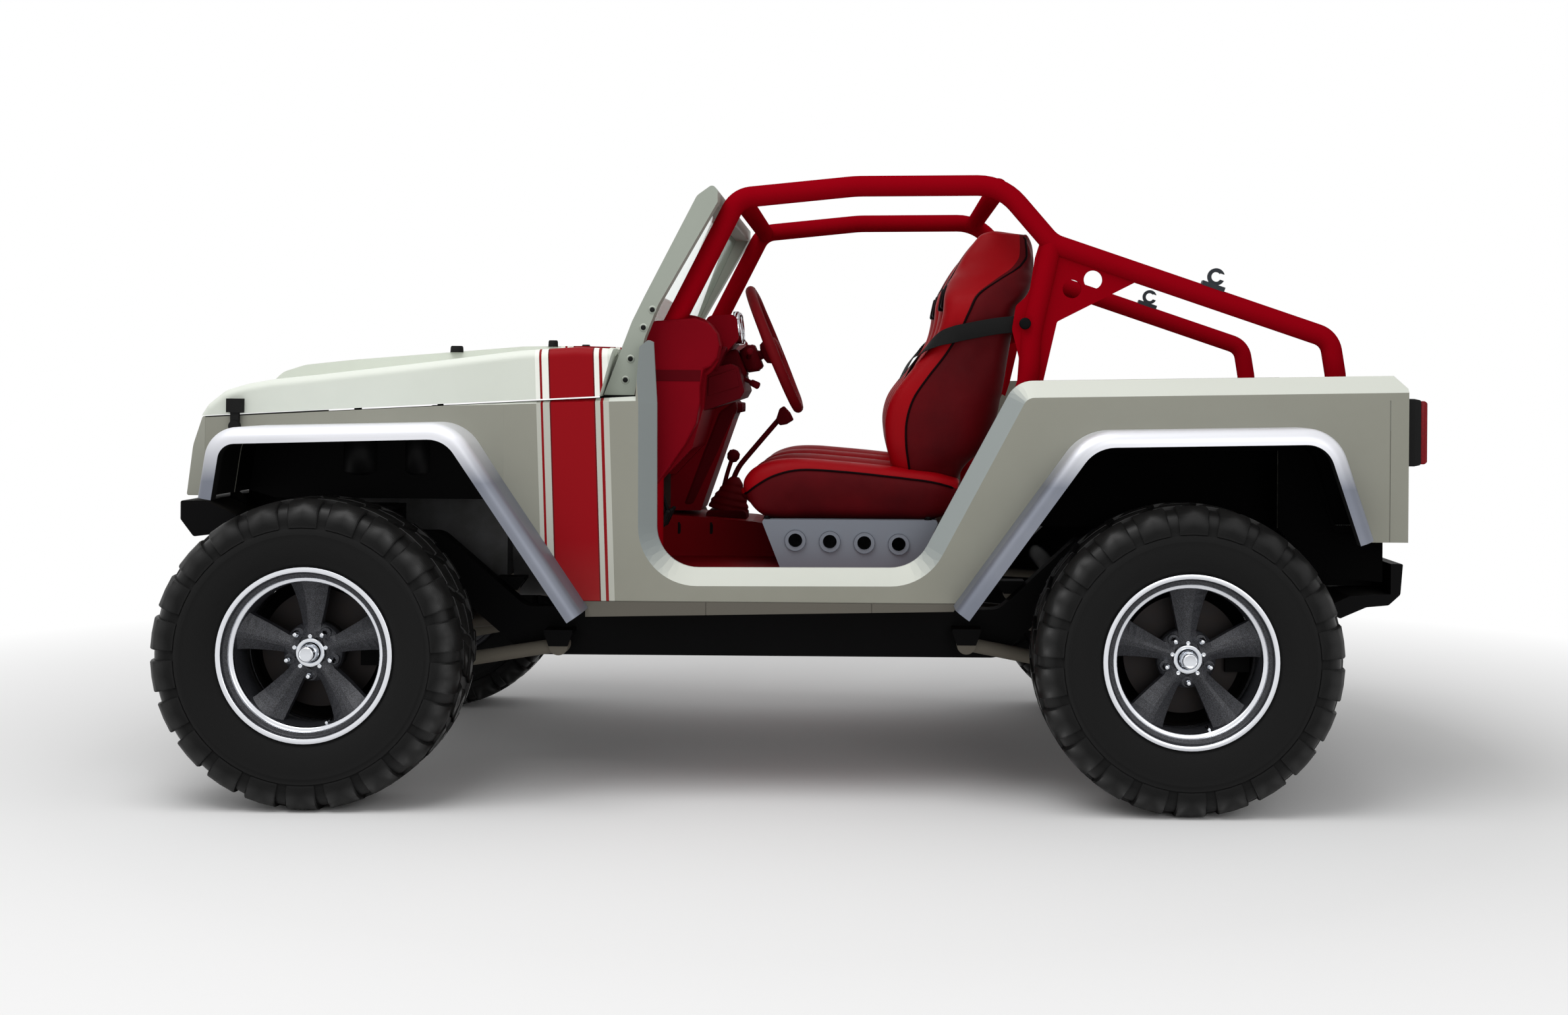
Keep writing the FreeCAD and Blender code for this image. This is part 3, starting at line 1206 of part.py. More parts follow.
def bonnet():
    """Bonnet with turned-down sides, rounded shoulders and a raised middle, hollow underneath."""
    rear = BONNET_REAR_X - 2
    line = bonnet_top_line() + [(rear, shut_line(rear), 0), (NOSE_X - 16, SHUT_FRONT_Z - 1, 0)]
    whole = plate(line, -BODY_HALF_WIDTH, BODY_HALF_WIDTH)
    nose = NOSE_HALF_WIDTH - 100 * (BODY_HALF_WIDTH - NOSE_HALF_WIDTH) / (TAPER_X - NOSE_X)
    plan = [
        (NOSE_X - 100, -nose, 0), (TAPER_X, -BODY_HALF_WIDTH, BONNET_PLAN_BEND), (-300, -BODY_HALF_WIDTH, 0),
    ]
    plan += [(x, -y, bend) for x, y, bend in plan[::-1]]
    whole = whole.common(plan_plate(plan, 1000, 1400))
    shoulders = [e for e in whole.Edges if on_shoulder(e)]
    whole = whole.makeFillet(BONNET_EDGE, shoulders)
    bulge_line = bulge_top_line() + [(BONNET_REAR_TOP_X - 30, 1200, 0), (-1400, 1100, 0)]
    bulge = plate(bulge_line, -BULGE_HALF, BULGE_HALF)
    whole = fuse([whole, bulge])
    under = [(x + 16, z - BONNET_SKIN, 0) for x, z, _ in bonnet_top_line()[1:-1]]
    under.append((BONNET_REAR_TOP_X - BONNET_SKIN - 6, 1274 - BONNET_SKIN, 0))
    under += [(rear - BONNET_SKIN, shut_line(rear), 0), (rear - BONNET_SKIN, 1000, 0), (NOSE_X + 25, 1000, 0)]
    room = plate(under, -BODY_HALF_WIDTH, BODY_HALF_WIDTH)
    inner_plan = [(x, y - math.copysign(BONNET_EDGE + 8, y), 0) for x, y, _ in plan]
    whole = whole.cut(room.common(plan_plate(inner_plan, 900, 1400)))
    slot_x, slot_top = BONNET_HINGE_X - BONNET_EYE - SHUT_GAP, BONNET_HINGE_Z + BONNET_EYE + SHUT_GAP
    slot = [
        (-300, 1000), (-300, slot_top), (slot_x, slot_top), (slot_x, BONNET_HINGE_Z - 20), (slot_x - 36, 1090),
        (slot_x - 36, 1000),
    ]
    eyes = [bonnet_hinge_rod(side * HINGE_OUT, BONNET_EYE, 30) for side in SIDES]
    whole = fuse([whole] + eyes)
    for side in SIDES:
        whole = whole.cut(plate(slot, *span(side, HINGE_OUT - 12, HINGE_OUT + 12)))
        whole = whole.cut(bonnet_hinge_rod(side * HINGE_OUT, PIN_RADIUS + PIN_RUNNING_GAP, 40))
    return whole


def bonnet_hinge_rod(y, radius, half):
    """A round bar on the bonnet's hinge axis."""
    return rod((BONNET_HINGE_X, y - half, BONNET_HINGE_Z), (BONNET_HINGE_X, y + half, BONNET_HINGE_Z), radius)


def bonnet_hinge_stand(y):
    """Stand on the cowl with the pin that the bonnet turns on."""
    foot_z = COWL_TOP - 40
    stand = plate([
        (BONNET_HINGE_X - 44, foot_z), (BONNET_HINGE_X - 30, foot_z), (BONNET_HINGE_X + 7, BONNET_HINGE_Z),
        (BONNET_HINGE_X - 12, BONNET_HINGE_Z)
    ], y - 6, y + 6)
    return fuse([stand, bonnet_hinge_rod(y, BONNET_EYE - 1, 6), bonnet_hinge_rod(y, PIN_RADIUS, 30)])


def on_shoulder(edge):
    """True for the long upper side edges of the bonnet."""
    mid = edge.valueAt((edge.FirstParameter + edge.LastParameter) / 2)
    ends = [v.Point for v in edge.Vertexes]
    run, rise = abs(ends[0].x - ends[-1].x), abs(ends[0].z - ends[-1].z)
    if run < 2 or rise > run or mid.z < SHUT_REAR_Z:
        return False
    return abs(abs(mid.y) - nose_taper(mid.x)) < 4 and -1460 < mid.x < BONNET_REAR_TOP_X


def bonnet_catches():
    """Rubber catches that hang from the bonnet over the wings."""
    x = NOSE_X + 98
    half = nose_taper(x)
    lean = math.degrees(math.atan2(BODY_HALF_WIDTH - NOSE_HALF_WIDTH, TAPER_X - NOSE_X))
    seam = shut_line(x)
    grip = box(-24, 24, -18, 0, seam + 4, seam + 44)
    strap = box(-13, 13, -14, -SHUT_GAP, seam - 34, seam + 20)
    knob = rod((0, -18, seam - 36), (0, -SHUT_GAP, seam - 36), 17)
    catch = fuse([grip, strap, knob])
    catch.rotate(V(0, 0, 0), V(0, 0, 1), -lean)
    catch.translate(V(x, -half - SEAT_GAP, 0))
    return together(both_sides(catch))


# Windscreen and roll cage

def windscreen_frame():
    foot = COWL_TOP + SEAT_GAP
    outline = [
        (-428, foot, 0), (-350, 1352, 100), (-315, 1424, 100), (-168, 1712, 30), (-124, 1744, 12),
        (-109, 1728, 6), (-109, 1694, 10), (-276, 1400, 100), (-314, 1305, 100), (POST_X - 10, foot, 0),
    ]
    whole = plate(outline, -SCREEN_HALF, SCREEN_HALF)
    clear_half = SCREEN_HALF - SCREEN_SIDE
    opening = box(-600, 200, -clear_half, clear_half, GLASS_LOW_Z + GLASS_BITE, GLASS_HIGH_Z - GLASS_BITE)
    groove = glass_slab(clear_half + GLASS_BITE + SEAT_GAP, SEAT_GAP)
    return whole.cut(opening).cut(groove)


def glass_slab(half, gap):
    """A leaning slab in the plane of the screen glass, larger than the glass by a gap all round."""
    def x_at(z):
        return GLASS_LOW_X + (z - GLASS_LOW_Z) * GLASS_LEAN
    low, high = GLASS_LOW_Z - gap, GLASS_HIGH_Z + gap
    thick = GLASS_THICK / 2 + gap
    line = [
        (x_at(low) - thick, low), (x_at(high) - thick, high), (x_at(high) + thick, high), (x_at(low) + thick, low),
    ]
    return plate(line, -half, half)


def windscreen_glass():
    return glass_slab(SCREEN_HALF - SCREEN_SIDE + GLASS_BITE, 0)


def cage_side():
    """Left side of the roll cage: front leg, roof rail, down tube, rear pillar, gusset and feet."""
    def at(x, z, bend=0):
        return (x, -CAGE_Y, z, bend)
    floor, bed = FLOOR_TOP + SEAT_GAP, BED_TOP + SEAT_GAP
    main = tube([
        at(A_LEG_X, floor), at(A_LEG_X, A_KNEE_Z, 160), at(*A_TOP, 70), at(*ROOF_MID, 400),
        at(*ROOF_REAR, 150), at(*B_TOP, 90), at(*DOWN_KNEE, 60), at(*DOWN_LOW_KNEE, 90), at(DOWN_FOOT_X, bed + 200, 300),
        at(DOWN_FOOT_X, bed),
    ], CAGE_TUBE)
    pillar = tube([
        at(*B_TOP), at(*B_KNEE, 200), at(*B_LOW_KNEE, 200), at(B_FOOT_X, 940, 200), at(B_FOOT_X, bed),
    ], CAGE_TUBE)
    gusset_line = [
        (815, 1590, 0), (802, 1548, 20), (786, 1444, 60), (748, 1410, 20), (737, 1340, 40), (758, 1259, 30),
        (752, 1170, 0), (812, 1140, 0), (828, 1190, 60), (867, 1364, 10), (1091, 1479, 0), (1085, 1515, 0),
        (880, 1590, 0),
    ]
    half = CAGE_PLATE / 2
    gusset = plate(gusset_line, -CAGE_Y - half, -CAGE_Y + half)
    for x, z in GUSSET_HOLES:
        gusset = gusset.cut(rod((x, -CAGE_Y - 20, z), (x, -CAGE_Y + 20, z), GUSSET_HOLE))
    belt_x, belt_z = BELT_ANCHOR
    gusset = fuse([gusset, rod((belt_x, -CAGE_Y - 40, belt_z), (belt_x, -CAGE_Y, belt_z), 12)])
    pieces = [main, pillar, gusset]
    for x, z in ((A_LEG_X, floor), (B_FOOT_X, bed), (DOWN_FOOT_X, bed)):
        reach = 42 if x == DOWN_FOOT_X else 46
        pieces.append(box(x - 38, x + 46, -CAGE_Y - reach, -CAGE_Y + reach, z, z + 8))
    return fuse(pieces)


def cross_stations():
    """Places of the tubes that join the two sides of the cage."""
    return [
        (A_TOP[0] + 8, A_TOP[1]), (ROOF_REAR[0] - 8, ROOF_REAR[1] - 4), (B_KNEE[0], B_KNEE[1] + 15),
        (A_LEG_X + 4, A_KNEE_Z - 20),
    ]


def cage_cross_tubes():
    reach = CAGE_Y - CAGE_TUBE - SEAT_GAP
    return together([cross_rod(x, z, reach, CAGE_CROSS_TUBE) for x, z in cross_stations()])


DOWN_SLOPE = math.atan2(B_TOP[1] - DOWN_KNEE[1], DOWN_KNEE[0] - B_TOP[0])
HOOK_X = 1306.0
HOOK_Z = B_TOP[1] - (HOOK_X - B_TOP[0]) * math.tan(DOWN_SLOPE)
HOOK_RISE = CAGE_TUBE + SEAT_GAP + 32
HOOK_HOLE = 14.0
HOOK_HALF = 5.0


def cage_hooks():
    """Open hooks on saddles on top of the two down tubes."""
    top = CAGE_TUBE + SEAT_GAP
    saddle = box(-34, 34, -14, 14, top - 8, top + 10)
    ring = rod((0, -HOOK_HALF, HOOK_RISE), (0, HOOK_HALF, HOOK_RISE), HOOK_HOLE + 11)
    ring = ring.cut(rod((0, -HOOK_HALF, HOOK_RISE), (0, HOOK_HALF, HOOK_RISE), HOOK_HOLE))
    mouth = box(8, 60, -7, 7, HOOK_RISE - 4, HOOK_RISE + 14)
    hook = fuse([saddle, ring.cut(mouth)])
    hook = hook.cut(rod((-60, 0, 0), (60, 0, 0), top))
    hook.rotate(V(0, 0, 0), V(0, 1, 0), math.degrees(DOWN_SLOPE))
    hook.translate(V(HOOK_X, -CAGE_Y, HOOK_Z))
    return together(both_sides(hook))


# Cabin

def seat_front_view(low, high):
    """Front outline of a seat: full width up to the shoulders, then a narrow head rest."""
    c = -SEAT_Y
    return [
        (c - SEAT_HALF, low, 30), (c + SEAT_HALF, low, 30), (c + SEAT_HALF + 6, 1380, 120),
        (c + SEAT_HALF - 30, 1480, 60),
        (c + 118, 1520, 60), (c + 112, high, 50), (c - 112, high, 50), (c - 118, 1520, 60),
        (c - SEAT_HALF + 30, 1480, 60), (c - SEAT_HALF - 6, 1380, 120),
    ]


def seat_back_line():
    """Side outline of the backrest, with its front edge first."""
    return [
        (389, 952, 20), (370, 1080, 60), (422, 1191, 200), (519, 1319, 120), (537, 1432, 60), (597, 1560, 120),
        (660, 1640, 60), (735, 1641, 40), (790, 1640, 20), (801, 1492, 100), (749, 1411, 100), (704, 1143, 300),
        (600, 880, 60), (500, 880, 0),
    ]


def seats():
    """Two seats, each a cushion and a backrest."""
    foot = RISER_TOP + SEAT_GAP
    cushion_line = [
        (-42, 898), (-7, 938, 25), (52, 961, 60), (130, 965, 200), (378, 942), (372, 1000),
        (460, 1000), (533, foot, 40), (14, foot, 12), (-35, 825, 20), (-45, 854, 10),
    ]
    y0, y1 = -SEAT_Y - SEAT_HALF, -SEAT_Y + SEAT_HALF
    back = plate(seat_back_line(), y0 - 10, y1 + 10).common(front_plate(seat_front_view(860, 1644), 300, 900))
    cushion = plate(cushion_line, y0, y1)
    room = plate([(x - SEAT_GAP, z) for x, z, _ in seat_back_line()], y0 - 15, y1 + 15)
    cushion = cushion.cut(room)
    back = back.cut(cushion)
    return together(both_sides(cushion) + both_sides(back))


def seat_risers():
    """Folded sheet stands under the seats, with a row of flanged holes in the outer face."""
    sheet = RISER_SHEET
    foot = FLOOR_TOP + SEAT_GAP
    line = [(15, RISER_TOP, 8), (75, foot), (464, foot), (532, RISER_TOP, 8)]
    inner = [
        (15 + 4 * sheet, RISER_TOP - sheet), (75 + 3 * sheet, 600), (464 - 3 * sheet, 600),
        (532 - 4 * sheet, RISER_TOP - sheet),
    ]
    y0, y1 = -SEAT_Y - SEAT_HALF, -TUNNEL_HALF - 8
    shell = plate(line, y0, y1).cut(plate(inner, y0 + sheet, y1 - sheet))
    flanges = []
    holes = []
    for i in range(4):
        x, z = 115 + 100 * i, 725 - 3 * i
        flanges.append(rod((x, y0 - 5, z), (x, y0 + 2, z), 30))
        holes.append(rod((x, y0 - 8, z), (x, y0 + 20, z), 20))
    shell = fuse([shell] + flanges)
    for hole in holes:
        shell = shell.cut(hole)
    return together(both_sides(shell))


def seat_belts():
    """Shoulder belts: a strap from the rear pillar along the backrest's side and down across its front."""
    thick = 3.0
    outer = -SEAT_Y - SEAT_HALF - 7
    pillar = B_KNEE[0] - CAGE_TUBE + 1
    side_line = [(pillar, 1384), (600, 1356), (515, 1322), (476, 1268), (590, 1306), (pillar, 1336)]
    side = plate(side_line, outer - thick, outer)
    front = seat_back_line()[:5]
    near = [(x - SEAT_GAP, z, r) for x, z, r in front]
    far = [(x - thick, z, r) for x, z, r in near]
    for edge in (near, far):
        edge[0] = (*edge[0][:2], 0)
        edge[-1] = (*edge[-1][:2], 0)
    line = near + far[::-1]
    sheet = plate(line, outer - thick, -SEAT_Y + SEAT_HALF)
    inner = -SEAT_Y + SEAT_HALF - 6
    path = [(outer - thick, 1268), (outer - thick, 1322), (inner, 1061), (inner, 1008)]
    strap = sheet.common(front_plate(path, 300, 700))
    return together(both_sides(fuse([side, strap])))


def column_point(distance):
    """A point on the steering column's axis, measured forward from the middle of the wheel."""
    return (WHEEL_X - COLUMN_DIR[0] * distance, -SEAT_Y, WHEEL_Z - COLUMN_DIR[2] * distance)


def dashboard():
    """Dashboard with rounded ends, instrument pod and the centre stack down to the tunnel."""
    face = POST_X + SEAT_GAP
    line = [
        (face, 1102), (face, 1150), (-290, 1290), (-204, 1340), (-130, 1290), (-148, 1210), (-156, 1108, 30),
        (-189, 989, 30), (-279, 893), (face, 893),
    ]
    roll = cross_rod(*DASH_ROLL, DASH_HALF, DASH_ROLL_RADIUS)
    whole = fuse([plate(line, -DASH_HALF, DASH_HALF), roll])
    foot_room = plate([(-400, 850), (-400, 1090), (-200, 1090, 40), (-180, 850)], -DASH_HALF + 40, -180)
    whole = whole.cut(foot_room).cut(mirrored(foot_room))
    pod_line = [(-160, 1378, 20), (-70, 1384, 20), (-62, 1310, 20), (-110, 1262, 10), (-160, 1262)]
    pod = plate(pod_line, -SEAT_Y - 120, -SEAT_Y + 120)
    stack_line = [
        (-300, 1100), (-100, 1120, 20), (-100, 1080, 20), (-205, TUNNEL_TOP, 0), (-300, TUNNEL_TOP, 0),
    ]
    stack = plate(stack_line, -125, 125).cut(floor_pan())
    whole = fuse([whole, pod, stack])
    bore = rod(column_point(60), column_point(700), COLUMN_RADIUS + 6)
    cover = rod(column_point(60), column_point(200), 34)
    bar_x, bar_z = cross_stations()[-1]
    bar = cross_rod(bar_x, bar_z, CAGE_Y, CAGE_CROSS_TUBE + 2)
    return whole.cut(bore).cut(cover).cut(bar)


def steering_column():
    """Column shaft from the wheel's hub to the firewall, with its shroud below the wheel."""
    shaft = rod(column_point(STEER_HUB + SEAT_GAP), column_point(560), COLUMN_RADIUS)
    shroud = rod(column_point(72), column_point(195), 31)
    collar = rod(column_point(195), column_point(215), COLUMN_RADIUS + 5.7)
    limit = FIREWALL_X + FIREWALL_SHEET + SEAT_GAP
    return fuse([shaft, shroud, collar]).cut(box(FIREWALL_X - 300, limit, -600, 0, 800, 1400))


def steering_wheel():
    ring = Part.makeTorus(STEER_RADIUS, GRIP_RADIUS, V(0, 0, 0), V(0, 0, 1))
    boss = Part.makeCylinder(36, 30, V(0, 0, -14))
    hub = Part.makeCylinder(20, STEER_HUB, V(0, 0, -STEER_HUB))
    pieces = [ring, boss, hub]
    for angle in (0, 120, 240):
        arm = box(0, STEER_RADIUS, -15, 15, -5, 5)
        arm.rotate(V(0, 0, 0), V(0, 0, 1), angle + 180)
        pieces.append(arm)
    whole = fuse(pieces)
    whole.rotate(V(0, 0, 0), V(0, 1, 0), 90 - math.degrees(COLUMN_TILT))
    whole.translate(V(WHEEL_X, -SEAT_Y, WHEEL_Z))
    return whole


def gear_levers():
    """Gear lever with its gaiter and base plate on the tunnel."""
    y = -30.0
    base = box(-190, -62, y - 70, y + 70, TUNNEL_TOP - 34, TUNNEL_TOP - 6)
    gaiter = Part.makeCone(60, 16, 110, V(-125, y, TUNNEL_TOP - 10))
    lever = tube([(-125, y, 800), (-92, y, 900, 60), (32, y, 1066)], 9)
    knob = Part.makeSphere(27, V(42, y, 1080))
    return fuse([base, gaiter, lever, knob]).cut(tunnel_keep_out())


def tunnel_keep_out():
    """The tunnel's outside, grown by the seat gap, for what stands on it."""
    wall = FIREWALL_X + FIREWALL_SHEET
    gap = SEAT_GAP
    line = [
        (wall, 600), (wall, TUNNEL_TOP + gap), (-40, TUNNEL_TOP - 30 + gap, 40),
        (300, TUNNEL_TOP - 85 + gap, 40), (300, 600),
    ]
    return plate(line, -TUNNEL_HALF, TUNNEL_HALF)


def export(name, shape):
    moved = shape.copy()
    moved.translate(V(-ORIGIN_X, 0, 0))
    moved.exportStep("parts/" + name + ".step")
    print(name, "solids", len(moved.Solids), "faces", len(moved.Faces), "valid", moved.isValid())


def build():
    """Makes every piece and writes one file for each."""
    export("frame_rails", frame_rails())
    export("front_bumper", front_bumper())
    export("rear_bumper", rear_bumper())
    export("front_axle_housing", front_axle())
    export("rear_axle_housing", rear_axle())
    export("suspension_links", suspension_links())
    export("coil_springs", coil_springs())
    export("shock_absorbers", shock_absorbers())
    export("engine_block", engine_block())
    export("gearbox_and_transfer_case", gearbox())
    export("propeller_shafts", propeller_shafts())
    export("exhaust", exhaust())
    export("fuel_tank", fuel_tank())
    export("radiator", radiator())
    export("floor_pan", floor_pan())
    export("firewall_and_cowl", firewall_and_cowl())
    left_side = fuse([body_side(), rear_corner()])
    export("body_side_left", left_side)
    export("body_side_right", fuse([mirrored(left_side)] + gate_hinges()))
    export("inner_wings", inner_wings())
    export("load_bed", load_bed())
    export("grille_panel", grille_panel())
    export("arch_flares", arch_flares())
    export("head_lamps", head_lamps())
    export("tail_lamps", tail_lamps())
    export("windscreen_frame", windscreen_frame())
    export("windscreen_glass", windscreen_glass())
    left_cage = cage_side()
    export("cage_left", left_cage)
    export("cage_right", mirrored(left_cage))
    export("cage_cross_tubes", cage_cross_tubes())
    export("cage_hooks", cage_hooks())
    export("seats", seats())
    export("seat_risers", seat_risers())
    export("seat_belts", seat_belts())
    export("dashboard", dashboard())
    export("steering_column", steering_column())
    export("gear_levers", gear_levers())
    export("bonnet", bonnet())
    export("bonnet_catches", bonnet_catches())
    export("tailgate", tailgate())
    export("steering_wheel", steering_wheel())
    export("steering_rods", steering_rods())
    export("pitman_arm", pitman_arm())
    left_knuckle = knuckle()
    export("knuckle_left", left_knuckle)
    export("knuckle_right", mirrored(left_knuckle))
    wheel_rim = rim()
    disc = brake_disc()
    for end, x in (("front", FRONT_AXLE_X), ("rear", REAR_AXLE_X)):
        for hand, side in (("left", -1), ("right", 1)):
            tag = end + "_" + hand
            export("tyre_" + tag, tyre(x, side * TRACK / 2))
            export("rim_" + tag, placed_wheel(wheel_rim, x, side))
            export("brake_disc_" + tag, placed_wheel(disc, x, side))


os.makedirs("parts", exist_ok=True)
build()
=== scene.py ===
import math

import bmesh
import bpy
import mathutils
from mathutils import Matrix, Vector


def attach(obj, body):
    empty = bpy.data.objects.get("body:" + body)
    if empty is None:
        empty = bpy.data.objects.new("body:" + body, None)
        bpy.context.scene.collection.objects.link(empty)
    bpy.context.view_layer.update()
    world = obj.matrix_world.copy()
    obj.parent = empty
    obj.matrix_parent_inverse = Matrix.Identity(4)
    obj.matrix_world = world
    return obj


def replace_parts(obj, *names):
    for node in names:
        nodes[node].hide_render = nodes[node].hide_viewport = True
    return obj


# Lifted two-door off-road 4x4 with an open tub, a tubular roll cage and no doors.
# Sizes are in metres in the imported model's frame: X runs to the rear, Y to the vehicle's right and Z up.
# Places on the vehicle are in millimetres with X from the middle of the wheelbase, and spot() turns them
# to metres.

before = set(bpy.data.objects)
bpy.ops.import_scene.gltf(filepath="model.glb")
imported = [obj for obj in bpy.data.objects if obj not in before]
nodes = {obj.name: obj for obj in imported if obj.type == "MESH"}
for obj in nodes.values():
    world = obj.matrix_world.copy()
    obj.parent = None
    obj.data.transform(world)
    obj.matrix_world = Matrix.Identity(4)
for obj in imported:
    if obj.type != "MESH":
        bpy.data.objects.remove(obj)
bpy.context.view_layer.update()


# Ladder frame
# Two box-section steel rails with welded crossmembers, spring towers and a steering box.
# The weldment is shot blasted and powder coated black, so it shows a fine pebble and no bright edge.

FRAME_SHIFT = 127


def spot(x, y, z):
    """A place given in millimetres, with X from the middle of the wheelbase."""
    return Vector((x - FRAME_SHIFT, y, z)) / 1000


def linear(code):
    """Linear colour of an sRGB hex value."""
    shares = [int(code[i:i + 2], 16) / 255 for i in (1, 3, 5)]
    return [s / 12.92 if s <= 0.04045 else ((s + 0.055) / 1.055) ** 2.4 for s in shares] + [1.0]


def add(tree, kind, inputs=None, **settings):
    """Adds a node with its settings. An input is a value, or the socket that feeds it."""
    node = tree.nodes.new("ShaderNode" + kind)
    for name, value in settings.items():
        setattr(node, name, value)
    for name, value in (inputs or {}).items():
        if isinstance(value, bpy.types.NodeSocket):
            tree.links.new(value, node.inputs[name])
        else:
            node.inputs[name].default_value = value
    return node


def new_material(name):
    """A new material, and the place on the part in metres that its patterns follow."""
    material = bpy.data.materials.new(name)
    material.use_nodes = True
    tree = material.node_tree
    tree.nodes.clear()
    return material, tree, add(tree, "TexCoord").outputs["Object"]


def surface(tree, inputs):
    """Closes a material with its shader."""
    shader = add(tree, "BsdfPrincipled", inputs)
    add(tree, "OutputMaterial", {"Surface": shader.outputs[0]})


def powder_coat(name, code, dust, roughness, dusty=0.35, gloss=0.15):
    """Sprayed and baked polyester: a pebble of 1.2 mm breaks up the shine, and dust lies on what looks up."""
    material, tree, place = new_material(name)
    pebble = add(tree, "TexNoise", {"Vector": place, "Scale": 1 / 0.0012, "Detail": 2.0})
    patches = add(tree, "TexNoise", {"Vector": place, "Scale": 1 / 0.16, "Detail": 6.0, "Roughness": 0.65})
    facing = add(tree, "SeparateXYZ", {0: add(tree, "NewGeometry").outputs["Normal"]})
    lying = add(tree, "MapRange", {
        "Value": facing.outputs["Z"], "From Min": 0.2, "To Min": 0.04, "To Max": dusty,
    })
    film = add(tree, "Math", {0: lying.outputs[0], 1: patches.outputs[0]}, operation="MULTIPLY")
    colour = add(tree, "Mix", {0: film.outputs[0], 6: linear(code), 7: linear(dust)}, data_type="RGBA")
    shine = add(tree, "MapRange", {
        "Value": patches.outputs[0], "To Min": roughness - 0.08, "To Max": roughness + 0.1,
    })
    relief = add(tree, "Bump", {"Height": pebble.outputs[0], "Strength": 0.3, "Distance": 0.0002})
    surface(tree, {
        "Base Color": colour.outputs[2], "Roughness": shine.outputs[0], "Specular IOR Level": gloss,
        "Normal": relief.outputs[0],
    })
    return material


def round_edges(piece, width, corner):
    """Rounds the edges of a piece that are sharper than the corner, in degrees."""
    rounding = piece.modifiers.new("rounded edges", "BEVEL")
    rounding.width = width
    rounding.segments = 2
    rounding.limit_method = "ANGLE"
    rounding.angle_limit = math.radians(corner)
    return rounding


def dress(name, material, edge=0.0):
    """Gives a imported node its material, and rounds its edges."""
    for place in nodes[name].material_slots:
        place.material = material
    if edge:
        round_edges(nodes[name], edge, 40).harden_normals = True


def turned(build, profile, place, axis, steps=32, finish=0, smooth=True):
    """Adds a form turned about an axis. The profile is (radius, distance along the axis) pairs."""
    aim = Vector(axis).to_track_quat("Z", "Y").to_matrix()
    rings = []
    for radius, height in profile:
        turns = [2 * math.pi * i / steps for i in range(steps if radius > 0 else 1)]
        ring = [Vector((radius * math.cos(t), radius * math.sin(t), height)) for t in turns]
        rings.append([build.verts.new(Vector(place) + aim @ corner) for corner in ring])
    for low, high in zip(rings, rings[1:]):
        for i in range(steps):
            j = i + 1
            corners = [low[i % len(low)], low[j % len(low)], high[j % len(high)], high[i % len(high)]]
            corners = list(dict.fromkeys(corners))
            if len(corners) > 2:
                face = build.faces.new(corners)
                face.material_index = finish
                face.smooth = smooth


def bolt(build, place, axis, size=0.012, finish=0):
    """A hexagon bolt head on its washer. The size is the washer's radius."""
    washer = [(size, 0), (size, 0.15 * size), (0.9 * size, 0.2 * size), (0, 0.2 * size)]
    turned(build, washer, place, axis, 20, finish)
    head = [(0.7 * size, 0.2 * size), (0.7 * size, 0.6 * size), (0.6 * size, 0.72 * size), (0, 0.76 * size)]
    turned(build, head, place, axis, 6, finish, smooth=False)


def mesh_of(name, build, materials):
    """The finished mesh of what was built."""
    bmesh.ops.recalc_face_normals(build, faces=build.faces)
    mesh = bpy.data.meshes.new(name)
    build.to_mesh(mesh)
    build.free()
    for material in materials:
        mesh.materials.append(material)
    return mesh


def fix(name, data, body, place=Matrix()):
    """Fixes a mesh or a curve to a body as a piece of its own."""
    piece = bpy.data.objects.new(name, data)
    bpy.context.scene.collection.objects.link(piece)
    piece.matrix_world = place
    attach(piece, body)
    return piece


def fit(name, build, materials, body, edge=0.0):
    """Makes a piece of what was built, and rounds its edges."""
    piece = fix(name, mesh_of(name, build, materials), body)
    if edge:
        round_edges(piece, edge, 30)
    return piece


black_coat = powder_coat("black_powder_coat", "#060607", "#36332f", 0.55, gloss=0.06)
dress("frame_rails", black_coat, 0.004)
dress("fuel_tank", black_coat, 0.006)
dress("radiator", black_coat, 0.003)
dress("inner_wings", black_coat)


# Bumpers
# Pressed steel channels with closed ends, the rear one with a stepped top under the tub.
# Each is bolted to the frame horns and powder coated black like the frame.

FRONT_BUMPER_FACE = -1662
BUMPER_BOLT_LEVEL = 775

dress("front_bumper", black_coat, 0.007)
dress("rear_bumper", black_coat, 0.006)

build = bmesh.new()
for side in (-1, 1):
    for y in (300, 420):
        bolt(build, spot(FRONT_BUMPER_FACE, side * y, BUMPER_BOLT_LEVEL), (-1, 0, 0), 0.013)
fit("front_bumper_bolts", build, [black_coat], "chassis")


# Axles, knuckles and shock absorbers
# Cast differential housings with pressed tubes, forged knuckles and twin-tube shock absorbers.
# They carry the same black coat, duller from grit thrown up by the tyres.

axle_coat = powder_coat("black_chassis_enamel", "#070708", "#3c3833", 0.68, 0.4, 0.05)
for name in ("front_axle_housing", "rear_axle_housing", "knuckle_left", "knuckle_right"):
    dress(name, axle_coat, 0.003)
dress("shock_absorbers", axle_coat)


# Trailing links, tie rod, drag link and pitman arm
# Steel tube arms with welded eyes, in warm grey primer-like enamel that shows up below the black frame.
# The enamel is sprayed thin, so it is dull with a fine pebble.

link_enamel = powder_coat("grey_link_enamel", "#6f6a60", "#8d877b", 0.6, 0.5)
for name in ("suspension_links", "steering_rods", "pitman_arm"):
    dress(name, link_enamel, 0.002)


# Coil springs
# Each is one round spring-steel wire of 18 mm, wound hot in five and a half turns and painted dark red.
# The ends are ground flat on the seats, so the first and last half turns lie level.

